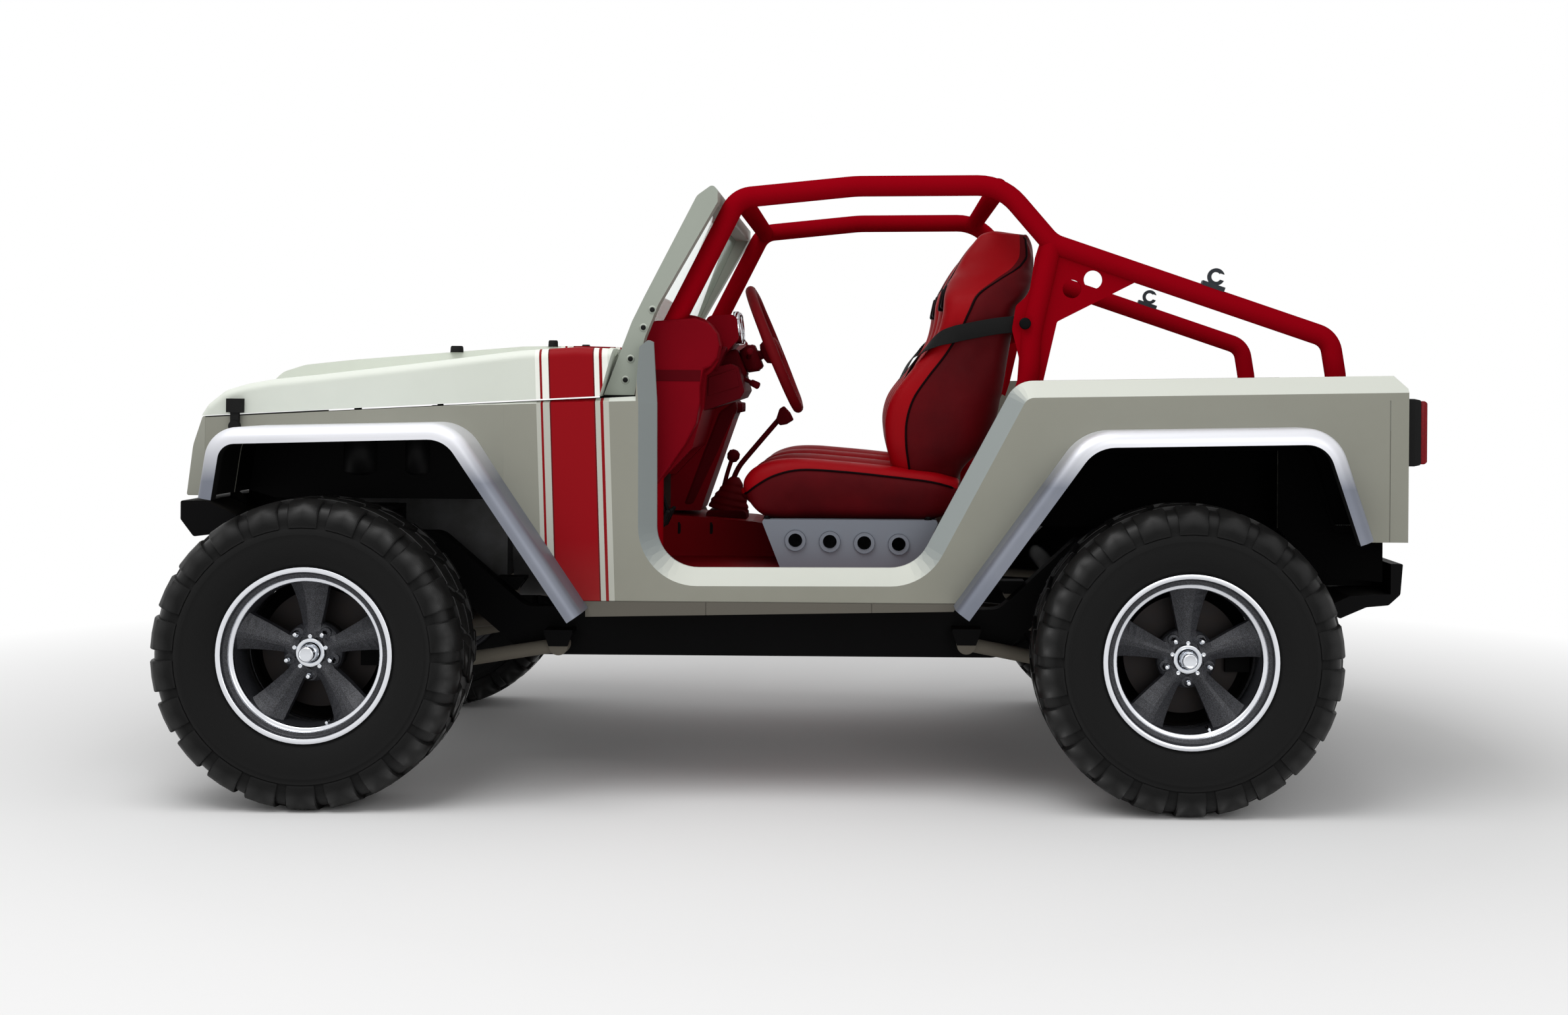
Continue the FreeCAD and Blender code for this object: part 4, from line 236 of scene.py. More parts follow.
HALF_WHEELBASE = 1212
SPRING_SIDE = 505
SPRING_TURNS = 5.5
SPRING_COIL = 0.057
SPRING_WIRE = 0.009
SPRING_LOW = 489.6
SPRING_HIGH = {-1: 799.6, 1: 739.6}

spring_paint = powder_coat("dark_red_spring_paint", "#4a0a0e", "#5c5650", 0.45, 0.3)


def round_bar(name, places, radius, material, fine=3, kind="POLY"):
    """A round bar, wire or cord of a radius through places in metres, fixed to the chassis."""
    curve = bpy.data.curves.new(name, "CURVE")
    curve.dimensions = "3D"
    curve.bevel_depth = radius
    curve.bevel_resolution = fine
    curve.resolution_u = 8
    curve.use_fill_caps = True
    line = curve.splines.new(kind)
    line.points.add(len(places) - 1)
    for point, place in zip(line.points, places):
        point.co = (*place, 1)
    line.use_smooth = True
    if kind == "NURBS":
        line.order_u = 3
        line.use_endpoint_u = True
    curve.materials.append(material)
    return fix(name, curve, "chassis")


def helix(centre, height):
    """Places along a coil on its foot's centre, with level ends."""
    steps = 20
    count = int(SPRING_TURNS * steps)
    places = []
    for i in range(count + 1):
        turn = 2 * math.pi * i / steps
        share = min(max((i - steps / 2) / (count - steps), 0), 1)
        rise = SPRING_WIRE + (height - 2 * SPRING_WIRE) * share
        places.append(centre + Vector((SPRING_COIL * math.cos(turn), SPRING_COIL * math.sin(turn), rise)))
    return places


for end, end_name in ((-1, "front"), (1, "rear")):
    for side, side_name in ((-1, "left"), (1, "right")):
        foot = spot(end * HALF_WHEELBASE, side * SPRING_SIDE, SPRING_LOW)
        places = helix(foot, (SPRING_HIGH[end] - SPRING_LOW) / 1000)
        name = "spring_" + end_name + "_" + side_name
        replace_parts(round_bar(name, places, SPRING_WIRE, spring_paint), "coil_springs")


# Brake discs
# Grey cast iron, turned on a lathe and rubbed by the pads, with a fine grain and raw edges.
# A thin brown bloom lies over the grey in patches.

def turned_iron():
    material, tree, place = new_material("turned_cast_iron")
    grain = add(tree, "TexNoise", {"Vector": place, "Scale": 1 / 0.004, "Detail": 3.0})
    bloom = add(tree, "TexNoise", {"Vector": place, "Scale": 1 / 0.03, "Detail": 4.0})
    colour = add(
        tree, "Mix", {0: bloom.outputs[0], 6: linear("#242426"), 7: linear("#2b2522")}, data_type="RGBA",
    )
    relief = add(tree, "Bump", {"Height": grain.outputs[0], "Strength": 0.2, "Distance": 0.0002})
    surface(tree, {
        "Base Color": colour.outputs[2], "Metallic": 0.9, "Roughness": 0.5, "Normal": relief.outputs[0],
    })
    return material


iron = turned_iron()
for end in ("front", "rear"):
    for hand in ("left", "right"):
        dress("brake_disc_" + end + "_" + hand, iron, 0.001)


# Brake backing plates
# Black stamped discs that keep water off the brakes, dished round the hub, with a deep flange at the rim.
# The front ones turn with the knuckles and the rear ones are bolted to the axle.

AXLE_HEIGHT = 426.6
PLATE_SIDE = 708

for end, body_name in ((-1, "knuckle_"), (1, "chassis")):
    for side, hand in ((-1, "left"), (1, "right")):
        build = bmesh.new()
        dish = [
            (.060, .012), (.085, .012), (.092, .004), (.150, .002), (.196, .002), (.204, .008), (.204, .047),
            (.206, .047),
        ]
        back = [(.206, .006), (.197, 0), (.150, 0), (.091, .002), (.084, .010), (.060, .010), (.060, .012)]
        hub = spot(end * HALF_WHEELBASE, side * PLATE_SIDE, AXLE_HEIGHT)
        turned(build, dish + back, hub, (0, side, 0), 64)
        body = body_name + hand if end < 0 else body_name
        tag = ("front_" if end < 0 else "rear_") + hand
        fit("backing_plate_" + tag, build, [axle_coat], body)


# Wheels
# One-piece cast aluminium with five ridged spokes. The rim lips are turned and polished bright, and
# the spokes, the barrel and the groove between the lips are painted dark grey over the cast grain.

WHEEL_CENTRES = {"front": -HALF_WHEELBASE, "rear": HALF_WHEELBASE}
WHEEL_SIDE = 820
SPOKES = 5
STUD_CIRCLE = 0.0635
SCREW_CIRCLE = 0.0455
VALVE = (0.055, 0, -0.188)


def hazed(name, code, size, detail, least, most, **traits):
    """A smooth surface. A haze of a size in metres varies its roughness between the least and the most."""
    material, tree, place = new_material(name)
    haze = add(tree, "TexNoise", {"Vector": place, "Scale": 1 / size, "Detail": detail})
    shine = add(tree, "MapRange", {"Value": haze.outputs[0], "To Min": least, "To Max": most})
    shader = {trait.replace("_", " "): value for trait, value in traits.items()}
    surface(tree, {"Base Color": linear(code), "Roughness": shine.outputs[0], **shader})
    return material


def cast_grey_paint():
    """Satin grey over sand-cast metal: grains of about 1.5 mm, drawn coarse enough to show as speckle."""
    material, tree, place = new_material("grey_paint_over_casting")
    grain = add(tree, "TexNoise", {"Vector": place, "Scale": 1 / 0.0022, "Detail": 3.0, "Roughness": 0.7})
    speck = add(tree, "MapRange", {"Value": grain.outputs[0], "From Min": 0.4, "From Max": 0.66})
    colour = add(
        tree, "Mix", {0: speck.outputs[0], 6: linear("#101113"), 7: linear("#4a4b51")}, data_type="RGBA",
    )
    relief = add(tree, "Bump", {"Height": grain.outputs[0], "Strength": 0.35, "Distance": 0.0004})
    surface(tree, {
        "Base Color": colour.outputs[2], "Metallic": 0.35, "Roughness": 0.42, "Normal": relief.outputs[0],
    })
    return material


# Buffed aluminium mirrors the room softly, and the chrome of the nuts and caps mirrors it nearly sharp.
polished = hazed("polished_aluminium", "#dfe1e6", 0.02, 5.0, 0.08, 0.24, Metallic=1.0)
cast_paint = cast_grey_paint()
bright = hazed("bright_chrome", "#d6d9de", 0.015, 3.0, 0.04, 0.14, Metallic=1.0)


def skin(build, rows, finish=0, smooth=False, ends=True):
    """Faces between closed rows of places that follow each other, and over the end rows if ends is set."""
    rings = [[build.verts.new(place) for place in row] for row in rows]
    for near, far in zip(rings, rings[1:]):
        for i in range(len(near)):
            j = (i + 1) % len(near)
            face = build.faces.new([near[i], near[j], far[j], far[i]])
            face.material_index = finish
            face.smooth = smooth
    if ends:
        for ring in (rings[0], rings[-1]):
            build.faces.new(ring).material_index = finish


def ribbed_spoke(build, turn):
    """One spoke: a roof-shaped bar that widens from the hub to the barrel."""
    stations = [
        (40, 30, 58, 47, 18), (58, 27, 59, 46, 14), (75, 25, 59, 44, 12), (100, 30, 60, 43, 14),
        (130, 37, 64, 45, 18), (160, 44, 72, 52, 26), (182, 50, 82, 62, 36), (201, 57, 93, 74, 48),
    ]
    spin = Matrix.Rotation(turn, 3, "Y")
    rows = []
    for reach, half, ridge, shoulder, back in stations:
        section = [(-half, back), (-half, shoulder), (-0.3 * half, ridge - 3), (0, ridge)]
        section += [(0.3 * half, ridge - 3), (half, shoulder), (half, back)]
        rows.append([spin @ Vector((w, -o, reach)) / 1000 for w, o in section])
    skin(build, rows, 1)


def cast_wheel():
    """The wheel about its own centre, with its outer face towards -Y."""
    build = bmesh.new()
    out = (0, -1, 0)
    centre = (0, 0, 0)
    outer_lip = [
        (.240, .106), (.2435, .112), (.2435, .121), (.241, .1245), (.233, .125), (.2285, .1235), (.227, .119),
    ]
    groove = [(.227, .119), (.2255, .113), (.2225, .110), (.215, .109), (.2125, .1075)]
    inner_lip = [(.2125, .1075), (.2115, .1035), (.209, .1015), (.203, .1005), (.2005, .098), (.1995, .092)]
    barrel = [
        (.1995, .092), (.1985, .07), (.197, .04), (.199, 0), (.205, -.03), (.214, -.06), (.222, -.10),
        (.2115, -.101), (.2115, -.105), (.224, -.106), (.2435, -.113), (.2435, -.120), (.238, -.124),
        (.228, -.118), (.226, -.11), (.222, -.06), (.212, -.02), (.208, .02), (.209, .07), (.218, .098),
        (.240, .106),
    ]
    for profile, finish in ((outer_lip, 0), (groove, 1), (inner_lip, 0), (barrel, 1)):
        turned(build, profile, centre, out, 96, finish)
    boss = [(.030, -.005), (.080, -.005), (.084, .012), (.082, .034), (.070, .044), (.030, .046)]
    turned(build, boss, centre, out, 60, 1)
    for i in range(SPOKES):
        turn = 2 * math.pi * i / SPOKES
        ribbed_spoke(build, turn)
        between = turn + math.pi / SPOKES
        pad = Vector((math.sin(between), 0, math.cos(between)))
        stud = STUD_CIRCLE * pad
        turned(build, [(.0165, .034), (.0165, .046), (.0145, .0485), (0, .0485)], stud, out, 24, 1)
        nut = [(.0115, .048), (.0115, .058), (.0100, .0600)]
        turned(build, nut, stud, out, 6, 2, smooth=False)
        dome = [(.0100, .0595), (.0100, .070), (.0085, .077), (.0050, .0825), (0, .0845)]
        turned(build, dome, stud, out, 20, 2)
        eye = SCREW_CIRCLE * Vector((math.sin(turn), 0, math.cos(turn)))
        screw = [(.0062, .056), (.0062, .0635), (.0050, .0648), (.0026, .0635), (0, .0632)]
        turned(build, screw, eye, out, 16, 2)
    ring = [(.028, .052), (.040, .052), (.0405, .060), (.0385, .0625), (.030, .0625), (.028, .060)]
    turned(build, ring, centre, out, 48, 2)
    cap = [
        (.0255, .056), (.0255, .064), (.0225, .0665), (.0220, .096), (.0208, .1015), (.0175, .1045),
        (.0165, .1035), (.0080, .1030), (0, .1028),
    ]
    turned(build, cap, centre, out, 40, 2)
    stem = [(.0055, .050), (.0055, .078), (.0042, .080), (.0042, .092), (0, .092)]
    turned(build, stem, VALVE, out, 12, 2)
    return build


def wheel_pieces(kind, build, materials):
    """Puts one mesh on all four wheels, with its outer face outwards."""
    mesh = mesh_of(kind + "_dressed", build, materials)
    for end, x in WHEEL_CENTRES.items():
        for hand, side in (("left", -1), ("right", 1)):
            tag = end + "_" + hand
            turn = Matrix.Rotation(math.pi if side > 0 else 0, 4, "Z")
            place = Matrix.Translation(spot(x, side * WHEEL_SIDE, AXLE_HEIGHT)) @ turn
            piece = fix(kind + "_dressed_" + tag, mesh, "wheel_" + tag, place)
            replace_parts(piece, kind + "_" + tag)
            round_edges(piece, 0.0015, 35)


wheel_pieces("rim", cast_wheel(), [polished, cast_paint, bright])


# Tyres
# Mud-terrain tyres of 33 by 11.5 inch on 18 inch rims, moulded in black rubber with 22 shoulder lugs a side.
# The lugs run down over the shoulder, and two staggered rows of blocks stand on the crown.

LUGS = 22
LUG_SHARE = 0.74
BLOCK_SHARE = 0.7
BLOCK_SKEW = 1.2


def tyre_rubber():
    """Cured rubber: black and dull, with moulding rings of 4 mm on the wall, rubbed grey where it wears."""
    material, tree, place = new_material("moulded_tyre_rubber")
    apart = add(tree, "SeparateXYZ", {0: place})
    flat = add(tree, "CombineXYZ", {"X": apart.outputs["X"], "Y": apart.outputs["Z"]})
    reach = add(tree, "VectorMath", {0: flat.outputs[0]}, operation="LENGTH")
    rings = add(tree, "Math", {0: reach.outputs["Value"], 1: 2 * math.pi / 0.004}, operation="MULTIPLY")
    wave = add(tree, "Math", {0: rings.outputs[0]}, operation="SINE")
    grain = add(tree, "TexNoise", {"Vector": place, "Scale": 1 / 0.0015, "Detail": 2.0})
    patches = add(tree, "TexNoise", {"Vector": place, "Scale": 1 / 0.05, "Detail": 5.0})
    worn = add(tree, "MapRange", {
        "Value": reach.outputs["Value"], "From Min": 0.39, "From Max": 0.428, "To Max": 0.6,
    })
    film = add(tree, "Math", {0: worn.outputs[0], 1: patches.outputs[0]}, operation="MULTIPLY")
    colour = add(
        tree, "Mix", {0: film.outputs[0], 6: linear("#060606"), 7: linear("#2c2b2a")}, data_type="RGBA",
    )
    rubbed = add(tree, "MapRange", {
        "Value": reach.outputs["Value"], "From Min": 0.372, "From Max": 0.398, "To Min": 0.9, "To Max": 0.45,
    })
    height = add(tree, "Math", {0: wave.outputs[0], 1: 0.3, 2: grain.outputs[0]}, operation="MULTIPLY_ADD")
    relief = add(tree, "Bump", {"Height": height.outputs[0], "Strength": 0.3, "Distance": 0.0004})
    surface(tree, {
        "Base Color": colour.outputs[2], "Roughness": rubbed.outputs[0], "Specular IOR Level": 0.3,
        "Normal": relief.outputs[0],
    })
    return material


def block(build, floor, top, turn, half_turn, skew=0.0):
    """A raised block: floor and top are (radius, side) lines along it, and half_turn is half its width."""
    across = [(-1, 0), (-1, 0.8), (-0.92, 1), (0, 1), (0.92, 1), (1, 0.8), (1, 0)]
    along = [(0, 0), (0, 0.8)] + [(i, 1) for i in range(len(top))] + [(len(top) - 1, 0.8), (len(top) - 1, 0)]
    grid = []
    for index, rise_along in along:
        row = []
        for share, rise_across in across:
            rise = min(rise_along, rise_across)
            radius = floor[index][0] + (top[index][0] - floor[index][0]) * rise
            side = floor[index][1] + (top[index][1] - floor[index][1]) * rise
            angle = turn + share * half_turn + skew * (top[index][1] - top[0][1])
            row.append(build.verts.new((radius * math.sin(angle), side, radius * math.cos(angle))))
        grid.append(row)
    for near, far in zip(grid, grid[1:]):
        for i in range(len(near) - 1):
            build.faces.new([near[i], near[i + 1], far[i + 1], far[i]]).smooth = True


def mud_tyre():
    """The tyre about its own centre: a carcass with shoulder lugs and crown blocks."""
    build = bmesh.new()
    half = [
        (.237, .110), (.245, .1165), (.252, .1235), (.262, .131), (.274, .1375), (.288, .142), (.304, .1448),
        (.318, .1458), (.329, .1458), (.3315, .1468), (.3345, .1468), (.337, .1452), (.348, .1448),
        (.3505, .1398), (.360, .1392), (.375, .1380), (.390, .1335), (.403, .124), (.4125, .108), (.417, .08),
        (.4185, .04), (.419, 0),
    ]
    side = [(r, o) for r, o in half] + [(r, -o) for r, o in half[-2::-1]]
    turned(build, side, (0, 0, 0), (0, -1, 0), 132)
    floor = [
        (.351, .137), (.357, .137), (.368, .136), (.384, .133), (.398, .124), (.409, .110), (.414, .092),
        (.4155, .078),
    ]
    top = [
        (.3515, .1448), (.358, .1460), (.372, .1462), (.389, .1440), (.406, .137), (.4185, .1235),
        (.4245, .104), (.4265, .080),
    ]
    crown_floor = [(.415, .068), (.416, .050), (.417, .030), (.417, .010)]
    crown_top = [(.4268, .068), (.4275, .050), (.4279, .030), (.428, .010)]
    pitch = 2 * math.pi / LUGS
    for i in range(LUGS):
        for hand in (-1, 1):
            shift = 0.0 if hand < 0 else 0.5
            turn = pitch * (i + shift)
            flip = [[(r, hand * o) for r, o in line] for line in (floor, top, crown_floor, crown_top)]
            block(build, flip[0], flip[1], turn, pitch / 2 * LUG_SHARE)
            block(build, flip[2], flip[3], turn + pitch / 2, pitch / 2 * BLOCK_SHARE, BLOCK_SKEW)
    return build


rubber = tyre_rubber()
wheel_pieces("tyre", mud_tyre(), [rubber])


# Engine, gearbox, shafts and exhaust
# Cast iron and aluminium left bare behind the radiator, steel tube shafts, and an aluminised exhaust pipe.
# All of it shows grain and darker stains, and the shafts and the pipe have a brown heat tint.

def cast_metal(name, code, stain, roughness):
    """Sand-cast metal: grain of 2 mm and darker stains where oil mist settled."""
    material, tree, place = new_material(name)
    grain = add(tree, "TexNoise", {"Vector": place, "Scale": 1 / 0.002, "Detail": 3.0})
    stains = add(tree, "TexNoise", {"Vector": place, "Scale": 1 / 0.09, "Detail": 5.0})
    colour = add(tree, "Mix", {0: stains.outputs[0], 6: linear(code), 7: linear(stain)}, data_type="RGBA")
    relief = add(tree, "Bump", {"Height": grain.outputs[0], "Strength": 0.5, "Distance": 0.0004})
    surface(tree, {
        "Base Color": colour.outputs[2], "Metallic": 0.8, "Roughness": roughness, "Normal": relief.outputs[0],
    })
    return material


cast_alloy = cast_metal("sand_cast_alloy", "#6b6c6e", "#3a3835", 0.55)
pipe_steel = cast_metal("aluminised_pipe_steel", "#77736c", "#54483c", 0.42)
dress("engine_block", cast_alloy, 0.012)
dress("gearbox_and_transfer_case", cast_alloy, 0.004)
dress("propeller_shafts", pipe_steel, 0.001)
dress("exhaust", pipe_steel)


# Engine bay
# Cast rocker covers with cooling fins, a pan-shaped air cleaner, a battery and two moulded tanks.
# They sit on the engine and on the inner wings, and show when the bonnet is open.

def slab(build, outline, near, far, finish=0):
    """A flat plate: its outline is (x, z) in millimetres, and it reaches from y near to y far."""
    skin(build, [[spot(x, y, z) for x, z in outline] for y in (near, far)], finish)


def box_of(build, low, high, finish=0):
    """A plain box from its lowest and highest corners in millimetres, to be rounded by its piece."""
    (x0, y0, z0), (x1, y1, z1) = low, high
    slab(build, [(x0, z0), (x1, z0), (x1, z1), (x0, z1)], y0, y1, finish)


ROCKER_COVER_LOW = (-1290, 120, 1030)
ROCKER_COVER_HIGH = (-830, 240, 1068)
FINS = 5
FIN_PITCH = 20
AIR_CLEANER = (-1060, 0, 1042)
BATTERY_LOW = (-1330, 400, 880)
BATTERY_HIGH = (-1120, 560, 1040)
TANKS = ((-1180, .052), (-1010, .040))
TANK_SIDE = -490
TANK_FOOT = 900

cover_red = powder_coat("red_wrinkle_coat", "#7c0611", "#5c1016", 0.7, 0.1, 0.05)
case_black = powder_coat("black_polypropylene", "#101011", "#2a2a2a", 0.5, 0.1)
build = bmesh.new()
(front, inner, foot), (back, outer, top) = ROCKER_COVER_LOW, ROCKER_COVER_HIGH
for side in (-1, 1):
    near, far = sorted((side * inner, side * outer))
    box_of(build, (front, near, foot), (back, far, top))
    for i in range(FINS):
        y = near + FIN_PITCH * (i + 1)
        box_of(build, (front + 20, y - 3, top - 2), (back - 20, y + 3, top + 8), 1)
    for x in (front + 12, (front + back) / 2, back - 12):
        for y in (near + 8, far - 8):
            bolt(build, spot(x, y, top - 1), (0, 0, 1), 0.008, 1)
fit("rocker_covers", build, [cover_red, cast_alloy], "chassis", edge=0.004)

build = bmesh.new()
pan = [(0, -.010), (.050, -.010), (.052, .004), (.096, .006), (.102, .010), (.102, .044), (.098, .050)]
lid = [(.030, .056), (.024, .058), (.010, .058), (.009, .066), (0, .068)]
turned(build, pan + lid, spot(*AIR_CLEANER), (0, 0, 1), 56)
fit("air_cleaner", build, [case_black], "chassis")

build = bmesh.new()
(front, inner, foot), (back, outer, top) = BATTERY_LOW, BATTERY_HIGH
box_of(build, BATTERY_LOW, BATTERY_HIGH)
box_of(build, (front + 8, inner + 8, top - 2), (back - 8, outer - 8, top + 10))
terminal = [(.011, 0), (.010, .014), (.008, .016), (0, .016)]
for y in (inner + 30, outer - 30):
    turned(build, terminal, spot(back - 30, y, top + 9), (0, 0, 1), 16, 1)
fit("battery", build, [case_black, cast_alloy], "chassis", edge=0.004)

build = bmesh.new()
for x, radius in TANKS:
    tank = [(.6 * radius, 0), (radius, .01), (radius, .10), (.8 * radius, .115), (.45 * radius, .118)]
    cap = [(.5 * radius, .120), (.5 * radius, .138), (0, .140)]
    turned(build, tank + cap, spot(x, TANK_SIDE, TANK_FOOT), (0, 0, 1), 32)
fit("coolant_and_washer_tanks", build, [case_black], "chassis")


# Tub, wings, bonnet and tailgate
# Pressed steel panels in warm grey paint with a clear coat; low sides look dull, and tops get a painted
# highlight.
# Red stripes with pale pinstripes are painted across the wing and over the bonnet, leaning a little forward.

ROCKER_TOP = 0.564
ARCH_TOP = 1.06
STRIPE_LEAN = 0.038
STRIPE_LEVEL = 1.117
STRIPE_START = -620.0
STRIPE_SPAN = 240.0
STRIPES = [
    (-610, "pale"), (-598, "thin"), (-591, "pale"), (-573, "edge"), (-569, "main"), (-448, "edge"),
    (-444, "pale"), (-430, "thin"), (-422, "pale"), (-406, "body"),
]


def facing_wheel(tree, apart, facing):
    """1 on faces that look towards the nearer axle, as the edge of an arch does, else 0."""
    along = add(tree, "Math", {0: apart.outputs["X"], 1: FRAME_SHIFT / 1000}, operation="ADD")
    end = add(tree, "Math", {0: along.outputs[0]}, operation="SIGN")
    nearer_axle = {0: end.outputs[0], 1: -HALF_WHEELBASE / 1000, 2: along.outputs[0]}
    from_axle = add(tree, "Math", nearer_axle, operation="MULTIPLY_ADD")
    above = add(tree, "Math", {0: apart.outputs["Z"], 1: AXLE_HEIGHT / 1000}, operation="SUBTRACT")
    rise = add(tree, "Math", {0: facing.outputs["Z"], 1: above.outputs[0]}, operation="MULTIPLY")
    outwards = {0: facing.outputs["X"], 1: from_axle.outputs[0], 2: rise.outputs[0]}
    turned_away = add(tree, "Math", outwards, operation="MULTIPLY_ADD")
    return add(tree, "Math", {0: turned_away.outputs[0], 1: -0.12}, operation="LESS_THAN")


def body_paint(name, code, deep, pale=None, underseal_shade_level=None, side_shade=None):
    """Sprayed enamel: orange peel of 4 mm, a painted highlight on faces that look up, and road dust low on
    the sides.
    A pale colour edges the stripes. Below the underseal shade level, and on faces that look down or outwards,
    a panel is near-black: underseal made as dark as shade, so partly painted shade. A side shade colour is
    painted shade on faces that look forward or back, with a darker rocker below the seam and black arch edges
    as painted shade."""
    material, tree, place = new_material(name)
    apart = add(tree, "SeparateXYZ", {0: place})
    peel = add(tree, "TexNoise", {"Vector": place, "Scale": 1 / 0.004, "Detail": 1.0})
    cloud = add(tree, "TexNoise", {"Vector": place, "Scale": 1 / 0.35, "Detail": 4.0, "Roughness": 0.6})
    base = add(
        tree, "Mix", {0: cloud.outputs[0], 6: linear(code), 7: linear(deep)}, data_type="RGBA",
    ).outputs[2]
    facing = add(tree, "SeparateXYZ", {0: add(tree, "NewGeometry").outputs["True Normal"]})
    # Faces that look up are mixed towards near white: a painted highlight, not a colour of the paint.
    painted_top_light = add(tree, "MapRange", {
        "Value": facing.outputs["Z"], "From Min": 0.1, "From Max": 0.5, "To Max": 0.75,
    })
    base = add(
        tree, "Mix", {0: painted_top_light.outputs[0], 6: base, 7: linear("#e9ede4")}, data_type="RGBA",
    ).outputs[2]
    # Faces that look forward or back are tinted blue-grey: painted shade.
    if side_shade:
        ahead = add(tree, "Math", {0: facing.outputs["X"]}, operation="ABSOLUTE")
        side_shade_mix = add(tree, "MapRange", {
            "Value": ahead.outputs[0], "From Min": 0.3, "From Max": 0.6, "To Max": 0.8,
        })
        base = add(
            tree, "Mix", {0: side_shade_mix.outputs[0], 6: base, 7: linear(side_shade)}, data_type="RGBA",
        ).outputs[2]
    hand = add(tree, "Math", {0: apart.outputs["Y"]}, operation="SIGN")
    outwards = add(tree, "Math", {0: facing.outputs["Y"], 1: hand.outputs[0]}, operation="MULTIPLY")
    if pale:
        level = add(tree, "Math", {0: apart.outputs["Z"], 1: STRIPE_LEVEL}, operation="SUBTRACT")
        leaning = {0: level.outputs[0], 1: STRIPE_LEAN, 2: apart.outputs["X"]}
        lean = add(tree, "Math", leaning, operation="MULTIPLY_ADD")
        start = spot(STRIPE_START, 0, 0).x
        share = add(tree, "MapRange", {
            "Value": lean.outputs[0], "From Min": start, "From Max": start + STRIPE_SPAN / 1000,
        })
        tints = {"pale": pale, "thin": "#86040e", "edge": "#5d030a", "main": "#8e000d", "body": "#000000"}
        colours = add(tree, "ValToRGB", {0: share.outputs[0]})
        mask = add(tree, "ValToRGB", {0: share.outputs[0]})
        for ramp in (colours.color_ramp, mask.color_ramp):
            ramp.interpolation = "CONSTANT"
            ramp.elements.remove(ramp.elements[1])
            ramp.elements[0].color = (0, 0, 0, 1)
        for x, tint in STRIPES:
            step = (x - STRIPE_START) / STRIPE_SPAN
            colours.color_ramp.elements.new(step).color = linear(tints[tint])
            mask.color_ramp.elements.new(step).color = [0.0 if tint == "body" else 1.0] * 3 + [1.0]
        shown = add(tree, "Math", {0: outwards.outputs[0], 1: facing.outputs["Z"]}, operation="MAXIMUM")
        outside = add(tree, "Math", {0: shown.outputs[0], 1: 0.05}, operation="GREATER_THAN")
        painted = add(tree, "Math", {0: mask.outputs[0], 1: outside.outputs[0]}, operation="MULTIPLY")
        base = add(
            tree, "Mix", {0: painted.outputs[0], 6: base, 7: colours.outputs[0]}, data_type="RGBA",
        ).outputs[2]
    if side_shade:
        rocker = add(tree, "Math", {0: apart.outputs["Z"], 1: ROCKER_TOP}, operation="LESS_THAN")
        base = add(
            tree, "Mix", {0: rocker.outputs[0], 6: base, 7: linear("#5e5b54")}, data_type="RGBA",
        ).outputs[2]
        # Edges of the wheel openings that face the wheel turn black: underseal that also stands in for the
        # shade in the arch.
        beside_wheel = add(tree, "Math", {0: apart.outputs["Z"], 1: ARCH_TOP}, operation="LESS_THAN")
        towards_wheel = facing_wheel(tree, apart, facing)
        both = {0: beside_wheel.outputs[0], 1: towards_wheel.outputs[0]}
        edge = add(tree, "Math", both, operation="MULTIPLY")
        base = add(
            tree, "Mix", {0: edge.outputs[0], 6: base, 7: linear("#030303")}, data_type="RGBA",
        ).outputs[2]
    low = add(tree, "MapRange", {
        "Value": apart.outputs["Z"], "From Min": 0.50, "From Max": 0.74, "To Min": 0.3, "To Max": 0.0,
    })
    film = add(tree, "Math", {0: low.outputs[0], 1: cloud.outputs[0]}, operation="MULTIPLY")
    colour = add(tree, "Mix", {0: film.outputs[0], 6: base, 7: linear("#6d675c")}, data_type="RGBA")
    shine = 0.5
    # Near-black underseal, made as dark as the shade under the body and beside the wheels, so it is partly
    # painted shade.
    if underseal_shade_level:
        down = add(tree, "Math", {0: facing.outputs["Z"], 1: -1.0}, operation="MULTIPLY")
        under = add(tree, "Math", {0: outwards.outputs[0], 1: down.outputs[0]}, operation="MAXIMUM")
        below = add(tree, "Math", {0: apart.outputs["Z"], 1: underseal_shade_level}, operation="LESS_THAN")
        either = add(tree, "Math", {0: under.outputs[0], 1: below.outputs[0]}, operation="MAXIMUM")
        mask = add(tree, "Math", {0: either.outputs[0], 1: 0.3}, operation="GREATER_THAN")
        colour = add(
            tree, "Mix", {0: mask.outputs[0], 6: colour.outputs[2], 7: linear("#030303")}, data_type="RGBA",
        )
        shine = add(tree, "MapRange", {"Value": mask.outputs[0], "To Min": 0.5, "To Max": 0.95}).outputs[0]
    relief = add(tree, "Bump", {"Height": peel.outputs[0], "Strength": 0.06, "Distance": 0.0004})
    surface(tree, {
        "Base Color": colour.outputs[2], "Roughness": shine, "Specular IOR Level": 0.05 if underseal_shade_level else 0.12,
        "Normal": relief.outputs[0],
    })
    return material


# The body sides take a blue-grey painted shade on faces that look forward or back.
side_paint = body_paint("warm_grey_enamel", "#96968b", "#8c8c81", "#b9bab0", side_shade="#868f91")
# The bonnet is the body grey painted much paler, with near-white stripe edges: a painted highlight from light
# above.
bonnet_highlight_paint = body_paint("bonnet_enamel_painted_highlight", "#dde2d8", "#d0d5cb", "#f0f2ea")
plain_paint = body_paint("plain_grey_enamel", "#a2a399", "#97978c")
dress("body_side_left", side_paint, 0.003)
dress("body_side_right", side_paint, 0.003)
dress("bonnet", bonnet_highlight_paint)
screen_paint = body_paint("windscreen_grey_enamel", "#a3a99f", "#979d93")
dress("tailgate", plain_paint, 0.003)
dress("grille_panel", plain_paint, 0.002)
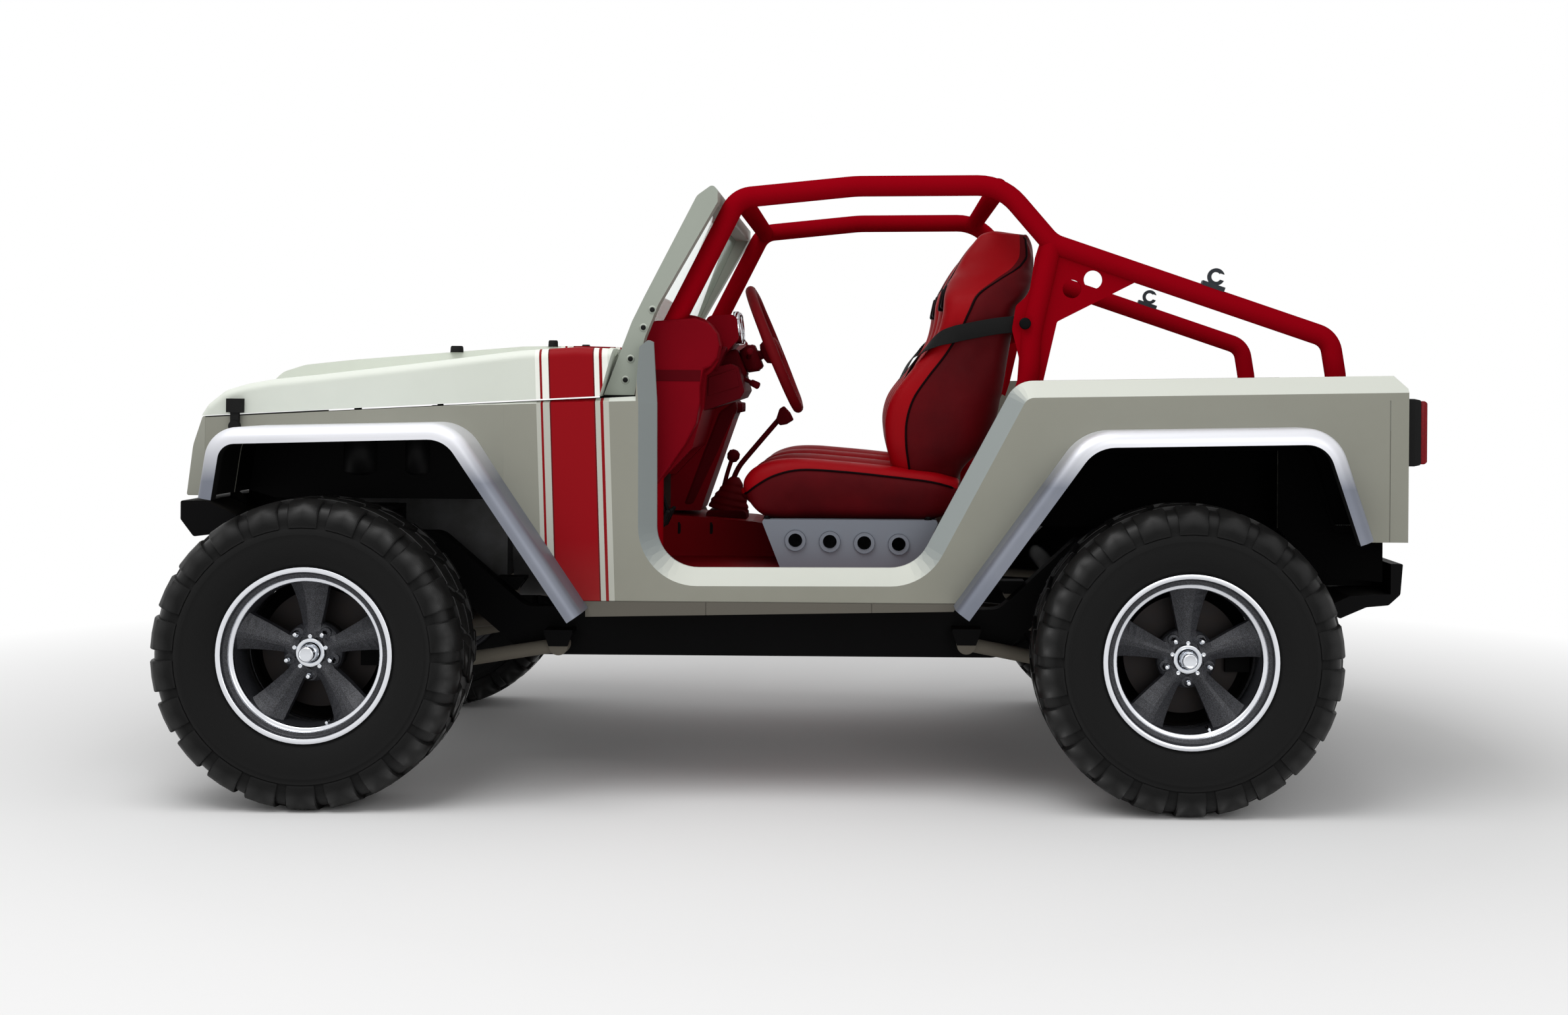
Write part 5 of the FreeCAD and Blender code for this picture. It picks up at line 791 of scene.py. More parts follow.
# This enamel turns near-black on faces that look down or outwards: underseal, partly painted shade.
underseal_shade_paint = body_paint("grey_enamel_underseal_and_shade", "#a2a399", "#97978c", underseal_shade_level=0.1)
# The firewall turns near-black below 0.98 m: underseal, partly painted shade behind the front wheels.
firewall_paint = body_paint("firewall_grey_enamel", "#a2a399", "#97978c", underseal_shade_level=0.98)
dress("load_bed", underseal_shade_paint, 0.002)
dress("firewall_and_cowl", firewall_paint, 0.002)


# Wheel house closing plates
# Pressed plates that close the rear wheel houses against the tub's side and run down to the bumper.
# They are welded in, painted like the tub inside and covered with black underseal towards the wheel, which
# also stands in for the shade in the wheel house.

CLOSING_PLATE = [
    (800, 1078), (772, 950), (830, 985), (1490, 1000), (1490, 780), (1560, 712), (1650, 640), (1790, 628),
    (1790, 1078),
]
PLATE_FACES = (722, 725)

for side, hand in ((-1, "left"), (1, "right")):
    build = bmesh.new()
    slab(build, CLOSING_PLATE, *(side * y for y in PLATE_FACES))
    fit("closing_plate_" + hand, build, [underseal_shade_paint], "chassis")


# Arch flares
# Moulded lips in silver metallic paint, bolted round each opening, with a rolled outer edge.
# The silver has a painted highlight along the top that falls to a slate grey painted shade down the legs, and
# the face to the tyre is black, standing in for the shade in the arch.

def silver_paint():
    material, tree, place = new_material("silver_metallic_paint")
    apart = add(tree, "SeparateXYZ", {0: place})
    facing = add(tree, "SeparateXYZ", {0: add(tree, "NewGeometry").outputs["True Normal"]})
    flake = add(tree, "TexNoise", {"Vector": place, "Scale": 1 / 0.0012, "Detail": 1.0})
    cloud = add(tree, "TexNoise", {"Vector": place, "Scale": 1 / 0.3, "Detail": 3.0})
    # Brighter higher up and slate grey lower down: a painted highlight and painted shade, as from light
    # above.
    painted_top_light = add(tree, "MapRange", {"Value": apart.outputs["Z"], "From Min": 0.90, "From Max": 1.04})
    tone = add(tree, "Math", {0: cloud.outputs[0], 1: 0.25, 2: painted_top_light.outputs[0]}, operation="MULTIPLY_ADD")
    colour = add(
        tree, "Mix", {0: tone.outputs[0], 6: linear("#5c6270"), 7: linear("#e6e7ec")}, data_type="RGBA",
    )
    # The face towards the tyre is black: painted shade of the arch.
    inside = facing_wheel(tree, apart, facing)
    colour = add(
        tree, "Mix", {0: inside.outputs[0], 6: colour.outputs[2], 7: linear("#030303")}, data_type="RGBA",
    )
    metal = add(tree, "MapRange", {"Value": inside.outputs[0], "To Min": 0.5, "To Max": 0.0})
    shine = add(tree, "MapRange", {"Value": inside.outputs[0], "To Min": 0.42, "To Max": 0.95})
    relief = add(tree, "Bump", {"Height": flake.outputs[0], "Strength": 0.12, "Distance": 0.0002})
    surface(tree, {
        "Base Color": colour.outputs[2], "Metallic": metal.outputs[0], "Roughness": shine.outputs[0],
        "Specular IOR Level": 0.15, "Normal": relief.outputs[0],
    })
    return material


dress("arch_flares", silver_paint(), 0.002)


# Bonnet catches
# T-shaped black rubber pulls that hook the bonnet's side down to a bracket on each wing.
# The rubber is moulded matt, with a bulb at each end.

def black_rubber():
    """Moulded rubber: matt, nearly black, with a fine spark-eroded grain of 1 mm."""
    material, tree, place = new_material("matt_black_rubber")
    grain = add(tree, "TexNoise", {"Vector": place, "Scale": 1 / 0.001, "Detail": 2.0})
    colour = add(
        tree, "Mix", {0: grain.outputs[0], 6: linear("#0c0c0c"), 7: linear("#191919")}, data_type="RGBA",
    )
    relief = add(tree, "Bump", {"Height": grain.outputs[0], "Strength": 0.3, "Distance": 0.0003})
    surface(tree, {
        "Base Color": colour.outputs[2], "Roughness": 0.7, "Specular IOR Level": 0.15,
        "Normal": relief.outputs[0],
    })
    return material


soft_black = black_rubber()
dress("bonnet_catches", soft_black, 0.003)


# Windscreen
# A welded and painted frame that folds on brackets bolted to the cowl, with laminated glass in a rubber seal.
# The glass is 6 mm thick with a faint green cast.

BRACKET_BOLTS = [(-292, 1386), (-317, 1335), (-353, 1246), (-367, 1186)]

# Clear float glass, with a film of dust that only blurs what it reflects.
glass = hazed("laminated_glass", "#eaf4ee", 0.12, 4.0, 0.0, 0.06, IOR=1.5, Transmission_Weight=1.0)
dress("windscreen_frame", screen_paint, 0.003)
dress("windscreen_glass", glass)


def touch(name, place, look):
    """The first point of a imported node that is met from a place, looking in a direction."""
    bpy.context.view_layer.update()
    return nodes[name].ray_cast(place, Vector(look))[1]


for side, hand in ((-1, "left"), (1, "right")):
    build = bmesh.new()
    for x, z in BRACKET_BOLTS:
        seat = touch("windscreen_frame", spot(x, side * 900, z), (0, -side, 0))
        washer = [(.0115, -.001), (.0115, .0012), (.0100, .002), (0, .002)]
        turned(build, washer, seat, (0, side, 0), 24, 1)
        bolt(build, seat + Vector((0, side * .0018, 0)), (0, side, 0), .0072)
    fit("bracket_bolts_" + hand, build, [soft_black, screen_paint], "chassis")


# Wipers
# Two black sprung arms on spindles through the frame's foot, each with a rubber blade along the glass.
# Arm and blade are coated steel, and the blade lies just clear of the bottom seal.

WIPER_SECTION = [(-1, -.5), (1, -.5), (1, .3), (.5, .5), (-.5, .5), (-1, .3)]
SPINDLES = {"left": -360, "right": 250}
SPINDLE_LEVEL = 1222
ARM_LENGTH = Vector((0, .30, 0))
HALF_BLADE = Vector((0, .19, 0))
lean = Vector((.5, 0, .866))
out = Vector((-.866, 0, .5))

for hand, y in SPINDLES.items():
    build = bmesh.new()
    foot = touch("windscreen_frame", spot(-700, y, SPINDLE_LEVEL), (1, 0, 0))
    turned(build, [(.013, -.004), (.013, .010), (.010, .016), (0, .018)], foot, out, 24)
    pivot = foot + out * .014
    tip = pivot + ARM_LENGTH + lean * .075
    blade = tip - lean * .004
    arm, rubber_blade = (pivot, tip, .0055, .004), (blade - HALF_BLADE, blade + HALF_BLADE, .004, .009)
    for start, stop, wide, deep in (arm, rubber_blade):
        run = (stop - start).normalized()
        across = run.cross(out).normalized()
        rows = []
        for place in (start, start + (stop - start) * .5 + out * .004, stop):
            rows.append([place + across * a * wide + out * b * deep for a, b in WIPER_SECTION])
        skin(build, rows)
    fit("wiper_" + hand, build, [soft_black], "chassis", edge=0.0006)


# Bonnet buffers
# Rubber blocks on the bonnet that the windscreen lies on when it is folded, each held by one screw.
# They are moulded in the same matt rubber as the catches.

BUFFERS = ((-935, .020), (-641, .015))
BUFFER_SIDE = 330

build = bmesh.new()
for x, half in BUFFERS:
    for y in (-BUFFER_SIDE, BUFFER_SIDE):
        seat = touch("bonnet", spot(x, y, 1600), (0, 0, -1))
        buffer = [(half, -.002), (.95 * half, .014), (.8 * half, .018), (.3 * half, .018)]
        turned(build, buffer + [(.25 * half, .014), (0, .014)], seat, (0, 0, 1), 24)
fit("bonnet_buffers", build, [soft_black], "bonnet")


# Roll cage
# Steel tube, 60 mm at the sides and 56 mm across, bent, mitred and welded, with a gusset plate a side.
# The red powder coat is thicker than the frame's, so it is smoother and has a soft sheen.

CAGE_FEET = (-304, 684, 1690)
CAGE_FOOT_LEVEL = 635
CAGE_SIDE = 640
FOOT_BOLTS = ((-28, -32), (36, -32), (-28, 32), (36, 32))

cage_coat = powder_coat("red_powder_coat", "#8a0210", "#8e2a30", 0.6, 0.05, 0.0)
for name in ("cage_left", "cage_right", "cage_cross_tubes"):
    dress(name, cage_coat)

build = bmesh.new()
for side, name in ((-1, "cage_left"), (1, "cage_right")):
    for x in CAGE_FEET:
        for dx, dy in FOOT_BOLTS:
            above = spot(x + dx, side * CAGE_SIDE + dy, CAGE_FOOT_LEVEL + 400)
            seat = touch(name, above, (0, 0, -1))
            if seat.z < spot(0, 0, CAGE_FOOT_LEVEL + 60).z:
                bolt(build, seat, (0, 0, 1), 0.010)
fit("cage_foot_bolts", build, [soft_black], "chassis")


# Cage hooks
# Small cast hooks on saddles welded on the down tubes, left as dark as they came from the foundry.
# The sand grain of the mould still shows on them, and they have no paint.

hook_iron = cast_metal("dark_cast_iron", "#2f3338", "#1c1e21", 0.5)
dress("cage_hooks", hook_iron, 0.001)


# Floor and seat risers
# The floor is pressed steel in red paint with slots through the tunnel's side. The risers are folded sheet in
# blue-grey with polished flanges in the holes. The floor is welded to the tub and the risers bolted to it.

RISER_HOLES = [(115, 725), (215, 722), (315, 719), (415, 716)]
RISER_HOLE_SIDE = 625
RISER_BOLTS = [(30, 786), (500, 786)]
RISER_BOLT_SIDE = 600
TUNNEL_SLOTS = (-269, -168)

floor_paint = powder_coat("red_floor_paint", "#8a0612", "#3a1a1a", 0.5, 0.1, 0.05)
riser_sheet = powder_coat("blue_grey_sheet", "#767b84", "#8c9098", 0.38, 0.3)
slot_shade = powder_coat("painted_slot_shade", "#120204", "#120204", 0.7, 0.0)
dress("floor_pan", floor_paint, 0.003)
dress("seat_risers", riser_sheet, 0.0015)

for side, hand in ((-1, "left"), (1, "right")):
    build = bmesh.new()
    flange = [(.0203, .0012), (.0206, -.003), (.0225, -.0048), (.0262, -.0052), (.0295, -.0030)]
    for x, z in RISER_HOLES:
        turned(build, flange + [(.0312, .0012)], spot(x, side * RISER_HOLE_SIDE, z), (0, side, 0), 40)
    fit("riser_flanges_" + hand, build, [polished], "chassis")
    build = bmesh.new()
    for x, z in RISER_BOLTS:
        bolt(build, spot(x, side * RISER_BOLT_SIDE, z), (0, 0, 1), 0.011)
    fit("riser_bolts_" + hand, build, [black_coat], "chassis")

# Dark plates in the tunnel's slots stand in for the shade seen through them: painted shade.
build = bmesh.new()
for x in TUNNEL_SLOTS:
    for side in (-1, 1):
        slot = [(x - 4, 704), (x + 4, 704), (x + 6, 712), (x + 6, 732), (x + 2, 742), (x - 4, 740)]
        slab(build, slot, side * 165.5, side * 160)
fit("tunnel_slots", build, [slot_shade], "chassis", edge=0.001)


# Dashboard and column
# Moulded in two dark reds, with a rolled top that ends in round cheeks, an instrument pod and round vents.
# It is screwed to the cage's front cross tube, and the column shroud clips together round the column.

def moulded_plastic(name, code, deep, grain_size=0.0018, roughness=0.5):
    """Injection-moulded plastic: a leather-like grain from the tool, satin all over."""
    material, tree, place = new_material(name)
    grain = add(tree, "TexVoronoi", {"Vector": place, "Scale": 1 / grain_size})
    cloud = add(tree, "TexNoise", {"Vector": place, "Scale": 1 / 0.12, "Detail": 3.0})
    colour = add(tree, "Mix", {0: cloud.outputs[0], 6: linear(code), 7: linear(deep)}, data_type="RGBA")
    relief = add(tree, "Bump", {"Height": grain.outputs["Distance"], "Strength": 0.25, "Distance": 0.0004})
    surface(tree, {
        "Base Color": colour.outputs[2], "Roughness": roughness, "Specular IOR Level": 0.03,
        "Normal": relief.outputs[0],
    })
    return material


dash_plastic = moulded_plastic("dark_red_plastic", "#7e0615", "#700512", roughness=0.6)
trim_plastic = moulded_plastic("deep_red_plastic", "#5a0610", "#46040b", roughness=0.6)
dial_black = moulded_plastic("black_dial_plastic", "#0b0b0c", "#131314", 0.001)
dash_white = moulded_plastic("white_dial_print", "#d9d9d4", "#cfcfca", 0.001)
dress("dashboard", dash_plastic, 0.005)
dress("steering_column", trim_plastic, 0.002)

DASH_SIDE = 600
ROLL = (-204, 1280)
ROLL_RADIUS = 0.097


def vent(build, place, axis, radius):
    """A round air outlet: a bezel, a dished rim and five vanes."""
    bezel = [(1.16 * radius, -.004), (1.16 * radius, .003), (1.08 * radius, .007), (radius, .006)]
    dish = [(.94 * radius, 0), (.9 * radius, -.010), (0, -.010)]
    turned(build, bezel + dish, place, axis, 36)
    aim = Vector(axis).to_track_quat("Z", "Y").to_matrix()
    for i in range(-2, 3):
        level = i * 0.34 * radius
        half = math.sqrt(max(radius * radius * 0.8 - level * level, 0))
        back, front = (level - .0012, -.009), (level + .004, .002)
        corners = [(-half, *back), (half, *back), (half, *front), (-half, *front)]
        skin(build, [[place + aim @ Vector((x, y + lift, z)) for x, y, z in corners] for lift in (0, .0022)])


for side, hand in ((-1, "left"), (1, "right")):
    build = bmesh.new()
    cheek = [
        (ROLL_RADIUS - .001, -.004), (ROLL_RADIUS, .002), (ROLL_RADIUS - .003, .0055),
        (ROLL_RADIUS - .010, .0065), (ROLL_RADIUS - .014, .0045), (ROLL_RADIUS - .018, .0035), (.030, .0050),
        (.026, .0062), (.020, .0060), (0, .0050),
    ]
    turned(build, cheek, spot(ROLL[0], side * DASH_SIDE, ROLL[1]), (0, side, 0), 72)
    fit("dash_cheek_" + hand, build, [dash_plastic], "chassis")

POST_TRIM_SIDES = (677, 604)
POST_TRIM = [
    (-330, 1352), (-283, 1357), (-177, 1366), (-136, 1351), (-112, 1322), (-105, 1286), (-112, 1251),
    (-130, 1227), (-151, 1218), (-160, 1168), (-160, 1121), (-171, 1062), (-201, 1003), (-242, 944),
    (-281, 885), (-330, 830),
]
for side, hand in ((-1, "left"), (1, "right")):
    build = bmesh.new()
    outer, inner = [[build.verts.new(spot(x, side * y, z)) for x, z in POST_TRIM] for y in POST_TRIM_SIDES]
    build.faces.new(outer)
    for i in range(len(POST_TRIM) - 1):
        build.faces.new([outer[i], outer[i + 1], inner[i + 1], inner[i]])
    trim = fit("post_trim_" + hand, build, [dash_plastic], "chassis", edge=0.006)
    wall = trim.modifiers.new("wall thickness", "SOLIDIFY")
    wall.thickness = 0.003
    wall.offset = -1
    build = bmesh.new()
    slab(build, [(-322, 1216), (-158, 1216), (-160, 1184), (-322, 1184)], side * 676, side * 678.5)
    fit("post_trim_rib_" + hand, build, [trim_plastic], "chassis", edge=0.001)

VENTS = [(-113, y, 1248) for y in (-545, -130, 130, 545)]
KNOBS = [(-100, y, 1101) for y in (-60, 0, 60)]
DASH_FACE = (0.93, 0, -0.37)

build = bmesh.new()
for place in VENTS:
    vent(build, spot(*place), DASH_FACE, 0.036)
for place in KNOBS:
    knob = [(.020, 0), (.020, .004), (.0165, .006), (.0150, .020), (.0135, .022), (0, .0225)]
    turned(build, knob, spot(*place), (1, 0, 0), 24)
fit("vents_and_knobs", build, [trim_plastic], "chassis")

DIALS = [(-66, y, 1346) for y in (-325, -435)]
DIAL_MARKS = 31


def printed(build, dial, aim, corners, lift):
    """A flat white shape on a dial, raised from its face."""
    face = build.faces.new([build.verts.new(dial + aim @ (c + Vector((0, 0, lift)))) for c in corners])
    face.material_index = 1


build = bmesh.new()
for place in DIALS:
    dial = spot(*place)
    look = (1, 0, 0.1)
    chrome_ring = [(.049, -.012), (.049, .002), (.0465, .006), (.0445, .006), (.043, .001)]
    turned(build, chrome_ring, dial, look, 48, 2)
    turned(build, [(.043, .001), (.0425, -.0015), (0, -.0015)], dial, look, 48, 0)
    turned(build, [(.006, -.001), (.006, .003), (0, .0036)], dial, look, 16, 0)
    aim = Vector(look).to_track_quat("Z", "Y").to_matrix()
    for i in range(DIAL_MARKS):
        turn = math.radians(-135 + 9 * i)
        near, far = (.031 if i % 5 == 0 else .035), .0395
        across = Vector((math.cos(turn), -math.sin(turn), 0)) * (.0011 if i % 5 == 0 else .0006)
        along = Vector((math.sin(turn), math.cos(turn), 0))
        marks = [along * near - across, along * near + across, along * far + across, along * far - across]
        printed(build, dial, aim, marks, -.0010)
    turn = math.radians(-100)
    along, across = Vector((math.sin(turn), math.cos(turn), 0)), Vector((math.cos(turn), -math.sin(turn), 0))
    hand_line = [across * .0016 - along * .008, -across * .0016 - along * .008, along * .034]
    printed(build, dial, aim, hand_line, .0022)
fit("gauges", build, [dial_black, dash_white, bright], "chassis")

build = bmesh.new()
panel = [(-150, 1222), (-80, 1236), (-58, 1225), (-40, 1156), (-52, 1134), (-176, 1092), (-186, 1110)]
slab(build, panel, -565, -205)
slab(build, [(-146, 1196), (-66, 1222), (-54, 1170), (-148, 1140)], -568, -563)
fit("knee_panel", build, [trim_plastic], "chassis", edge=0.008)

build = bmesh.new()
console = [(-150, 1090), (-98, 1127), (-90, 1100), (-150, 960), (-228, 791), (-262, 791), (-200, 960)]
slab(build, console, -128, 128)
fit("console_cheeks", build, [trim_plastic], "chassis", edge=0.010)

COLUMN_SLOPE = math.radians(22.5)
COLUMN = Vector((math.cos(COLUMN_SLOPE), 0, math.sin(COLUMN_SLOPE)))
WHEEL_HUB = spot(38, -380, 1282)


def rounded_shroud(build, start, end, width, depth):
    """A box-like cover with rounded corners along the column, between two distances below the wheel."""
    side = Vector((0, 1, 0))
    up = side.cross(COLUMN)
    rings = []
    for reach, grow in ((start, .86), (start + .006, .97), (start + .012, 1), (end - .03, 1.08), (end, .9)):
        ring = []
        for i in range(32):
            turn = 2 * math.pi * i / 32
            c, s = math.cos(turn), math.sin(turn)
            across = math.copysign(abs(c) ** 0.45, c) * width * grow
            rise = math.copysign(abs(s) ** 0.45, s) * depth * grow
            ring.append(WHEEL_HUB - COLUMN * reach + side * across + up * rise)
        rings.append(ring)
    skin(build, rings, smooth=True)


build = bmesh.new()
rounded_shroud(build, .050, .098, .048, .040)
rounded_shroud(build, .102, .185, .054, .046)
for side in (-1, 1):
    root = WHEEL_HUB - COLUMN * .082 + Vector((0, side * .045, .008))
    reach = Vector((.10, side, .10)).normalized()
    stalk = [(.0075, 0), (.0065, .05), (.0055, .10), (.0095, .104), (.0100, .140), (.0085, .145), (0, .146)]
    turned(build, stalk, root, reach, 16)
root = WHEEL_HUB - COLUMN * .112 + Vector((0, -.030, -.040))
turned(build, [(.007, 0), (.006, .045), (.010, .05), (.011, .075), (0, .079)], root, (.75, -.5, -.35), 14)
fit("column_shroud", build, [trim_plastic], "chassis")

PEDALS = [((-282, -495, 772), .026), ((-282, -405, 772), .026), ((-282, -315, 772), .020)]

build = bmesh.new()
for place, wide in PEDALS:
    pad = spot(*place)
    outline = [(-wide, -.030), (wide, -.030), (wide, .030), (-wide, .030)]
    lift, out = Vector((.42, 0, .91)), Vector((.91, 0, -.42))
    corners = [pad + Vector((0, a, 0)) + lift * b for a, b in outline]
    skin(build, [[c + out * .006 for c in corners], [c - out * .004 for c in corners]])
    turned(build, [(.006, 0), (.006, .26)], pad - out * .004, (-.28, 0, .96), 10)
fit("pedals", build, [soft_black], "chassis", edge=0.002)


# Steering wheel
# A steel ring padded and wrapped in dark red leather with a seam round the inside, on three flat spokes.
# A blank domed pad covers the nut that holds it on the column.

def stitched_leather(name, code, deep, roughness=0.46):
    """Finished cowhide: pores of 1.6 mm, gentle creases of 30 mm and a colour that deepens in patches."""
    material, tree, place = new_material(name)
    pores = add(tree, "TexVoronoi", {"Vector": place, "Scale": 1 / 0.0016})
    crease = add(tree, "TexNoise", {"Vector": place, "Scale": 1 / 0.03, "Detail": 5.0, "Distortion": 0.6})
    cloud = add(tree, "TexNoise", {"Vector": place, "Scale": 1 / 0.15, "Detail": 3.0})
    colour = add(tree, "Mix", {0: cloud.outputs[0], 6: linear(code), 7: linear(deep)}, data_type="RGBA")
    creased = {0: crease.outputs[0], 1: 2.0, 2: pores.outputs["Distance"]}
    height = add(tree, "Math", creased, operation="MULTIPLY_ADD")
    shine = add(tree, "MapRange", {
        "Value": crease.outputs[0], "To Min": roughness - .08, "To Max": roughness + .1,
    })
    relief = add(tree, "Bump", {"Height": height.outputs[0], "Strength": 0.25, "Distance": 0.0006})
    surface(tree, {
        "Base Color": colour.outputs[2], "Roughness": shine.outputs[0], "Specular IOR Level": 0.08,
        "Normal": relief.outputs[0],
    })
    return material


RIM_RADIUS = 0.1905
GRIP_RADIUS = 0.0155

grip_leather = stitched_leather("dark_red_grip_leather", "#70050e", "#5a040b", 0.6)
build = bmesh.new()
ring = []
for i in range(96):
    turn = 2 * math.pi * i / 96
    thick = GRIP_RADIUS + .0012 * max(0, math.cos(3 * turn + math.pi)) ** 4
    centre = Vector((RIM_RADIUS * math.cos(turn), RIM_RADIUS * math.sin(turn), 0))
    out = centre.normalized()
    loop = []
    for k in range(16):
        angle = 2 * math.pi * k / 16
        dent = .9 if k == 8 else 1.0
        away = out * math.cos(angle) + Vector((0, 0, math.sin(angle)))
        loop.append(build.verts.new(centre + away * thick * dent))
    ring.append(loop)
for i in range(96):
    near, far = ring[i], ring[(i + 1) % 96]
    for k in range(16):
        build.faces.new([near[k], near[(k + 1) % 16], far[(k + 1) % 16], far[k]]).smooth = True
for turn in (0, 2 * math.pi / 3, 4 * math.pi / 3):
    spin = Matrix.Rotation(turn + math.pi, 3, "Z")
    sections = [(.030, .021, -.010), (.070, .017, -.008), (.120, .015, -.003), (.182, .019, 0)]
    rows = []
    for reach, half, drop in sections:
        section = [(-1, -.002), (-.8, .003), (.8, .003), (1, -.002), (.8, -.004), (-.8, -.004)]
        rows.append([spin @ Vector((reach, half * w, drop + h)) for w, h in section])
    skin(build, rows, 1, ends=False)
hub = [(.018, -.040), (.030, -.036), (.040, -.016), (.040, -.006), (.034, 0), (.034, .006)]
turned(build, hub, (0, 0, 0), (0, 0, 1), 40, 1)
pad = [(.034, .002), (.036, .008), (.033, .014), (.022, .018), (0, .0195)]
turned(build, pad, (0, 0, 0), (0, 0, 1), 40, 0)
for i in range(6):
    turn = math.pi / 6 + i * math.pi / 3
    place = (.0368 * math.cos(turn), .0368 * math.sin(turn), .0045)
    turned(build, [(.0032, 0), (.0030, .0022), (0, .0026)], place, (0, 0, 1), 10, 2)
tilt = COLUMN.to_track_quat("Z", "Y").to_matrix().to_4x4()
bmesh.ops.transform(build, matrix=Matrix.Translation(WHEEL_HUB) @ tilt, verts=build.verts)
materials = [grip_leather, trim_plastic, bright]
wheel_rim = fit("steering_wheel_dressed", build, materials, "steering_wheel")
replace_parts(wheel_rim, "steering_wheel")


# Gear levers
# A bent steel lever with a wedge-shaped knob, in a pleated leather boot held by a frame on the tunnel.
# The lever is dipped in deep red plastic like the knob, and a shorter one works the transfer case.

LEVER = [(-112, -30, 860), (-100, -30, 900), (-60, -30, 950), (40, -30, 1068)]
TRANSFER_LEVER = [(-150, 10, 800), (-142, 10, 860), (-118, 10, 930)]
TRANSFER_KNOB = (-120, 10, 924)
BOOT_FOOT = (-125, -30, 770)

build = bmesh.new()
boot = [
    (.064, .0), (.066, .006), (.060, .016), (.063, .024), (.052, .036), (.054, .044), (.042, .058),
    (.043, .066), (.030, .082), (.030, .090), (.018, .104), (.012, .110),
]
turned(build, boot, spot(*BOOT_FOOT), (.22, 0, 1), 36, 0)
plinth = [(-190, 740), (-62, 740), (-62, 766), (-72, 774), (-182, 774), (-190, 766)]
slab(build, plinth, -100, 40, 1)
knob = [(26, 1060), (40, 1044), (62, 1048), (84, 1062), (72, 1086), (52, 1107), (38, 1098)]
slab(build, knob, -46, -14, 1)
boot_piece = fit("gear_boot", build, [grip_leather, trim_plastic], "chassis", edge=0.004)
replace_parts(boot_piece, "gear_levers")

for name, line, radius in (("gear_lever", LEVER, .0085), ("transfer_lever", TRANSFER_LEVER, .007)):
    round_bar(name, [spot(*place) for place in line], radius, trim_plastic, 4, "NURBS")

build = bmesh.new()
pear = [(.006, 0), (.016, .006), (.021, .020), (.018, .034), (.008, .041), (0, .042)]
turned(build, pear, spot(*TRANSFER_KNOB), (.4, 0, 1), 24)
fit("transfer_knob", build, [trim_plastic], "chassis")


# Seats
# Bucket seats of moulded foam in sewn red leather: a bright front with high bolsters round a sunk middle,
# darker sides and rear, and piping in the seams. Each cushion and back is blown up over its foam.

SEAT_SIDE = 380
BACK = [
    (400, 915, 586, 868, 186, 6, 50), (386, 962, 606, 925, 210, 20, 56), (375, 1010, 650, 975, 228, 36, 60),
    (371, 1075, 682, 1050, 234, 50, 64), (388, 1140, 702, 1125, 235, 60, 66),
    (428, 1198, 716, 1200, 235, 62, 66), (484, 1266, 728, 1278, 233, 56, 64),
    (521, 1325, 740, 1348, 236, 42, 66), (538, 1385, 752, 1408, 239, 26, 78),
    (543, 1440, 782, 1452, 222, 12, 100), (556, 1484, 801, 1494, 180, 4, 150),
    (578, 1524, 804, 1534, 142, 4, 190), (606, 1572, 804, 1582, 124, 5, 190),
    (650, 1624, 795, 1628, 108, 3, 140),
]
CUSHION = [
    (-42, 872, -34, 842, 188, 0, 16), (-38, 900, -14, 814, 214, 6, 40), (-8, 934, 14, 795, 230, 14, 52),
    (52, 957, 60, 790, 236, 26, 44), (130, 962, 132, 789, 236, 34, 32), (240, 954, 240, 789, 236, 38, 28),
    (320, 947, 320, 789, 236, 36, 28), (385, 940, 385, 789, 234, 30, 28), (440, 934, 440, 789, 232, 20, 28),
    (520, 925, 515, 789, 228, 10, 30), (592, 905, 580, 800, 214, 4, 30),
]
END_DOME = ((0.95, 5), (0.84, 10), (0.64, 14), (0.36, 16))
CHANNELS = {"back": (2, 4, 6, 8), "cushion": (3, 5, 7)}
CLOTH_STEPS = 20
SWELLING = 0.010
SEWN_REACH = 0.004
SEAM_REACH = 0.012
SEAM_DEPTH = 0.003
HARNESS_SLOT = (550, 1440)
HARNESS_HALF = 112

front_leather = stitched_leather("bright_red_leather", "#98020d", "#84020b")
side_leather = stitched_leather("dark_red_leather", "#5e030b", "#330105", 0.56)
insert_leather = stitched_leather("middle_red_leather", "#82030d", "#6c030b")
piping_black = moulded_plastic("black_welt_cord", "#0c0305", "#140507", 0.001)


def smooth_line(points, steps=10):
    """A denser line through the points, with rounded turns."""
    dense = []
    for i in range(len(points) - 1):
        a, b, c, d = points[max(i - 1, 0)], points[i], points[i + 1], points[min(i + 2, len(points) - 1)]
        for k in range(steps):
            t = k / steps
            dense.append(0.5 * (
                2 * b + (c - a) * t + (2 * a - 5 * b + 4 * c - d) * t * t + (3 * b - a - 3 * c + d) * t ** 3
            ))
    return dense + [points[-1]]


def half_ring(depth, sunk, seam):
    """Half a cross section from the middle of the front round to the middle of the rear, as (share of half
    the width, distance behind the crest). The sixth point is the inner seam and the twelfth the outer one."""
    return [
        (0, .92 * sunk), (.14, .93 * sunk), (.27, .96 * sunk), (.38, sunk), (.46, sunk), (.50, .9 * sunk),
        (.56, .6 * sunk), (.65, .18 * sunk), (.76, 0), (.87, .06 * seam), (.955, .36 * seam), (1.0, seam),
        (1.0, seam + .16 * (depth - seam)), (.99, seam + .4 * (depth - seam)),
        (.98, seam + .66 * (depth - seam)), (.95, seam + .88 * (depth - seam)), (.87, .985 * depth),
        (.72, depth), (.5, depth), (.25, depth), (0, depth),
    ]


INNER_SEAM = 5
OUTER_SEAM = 11


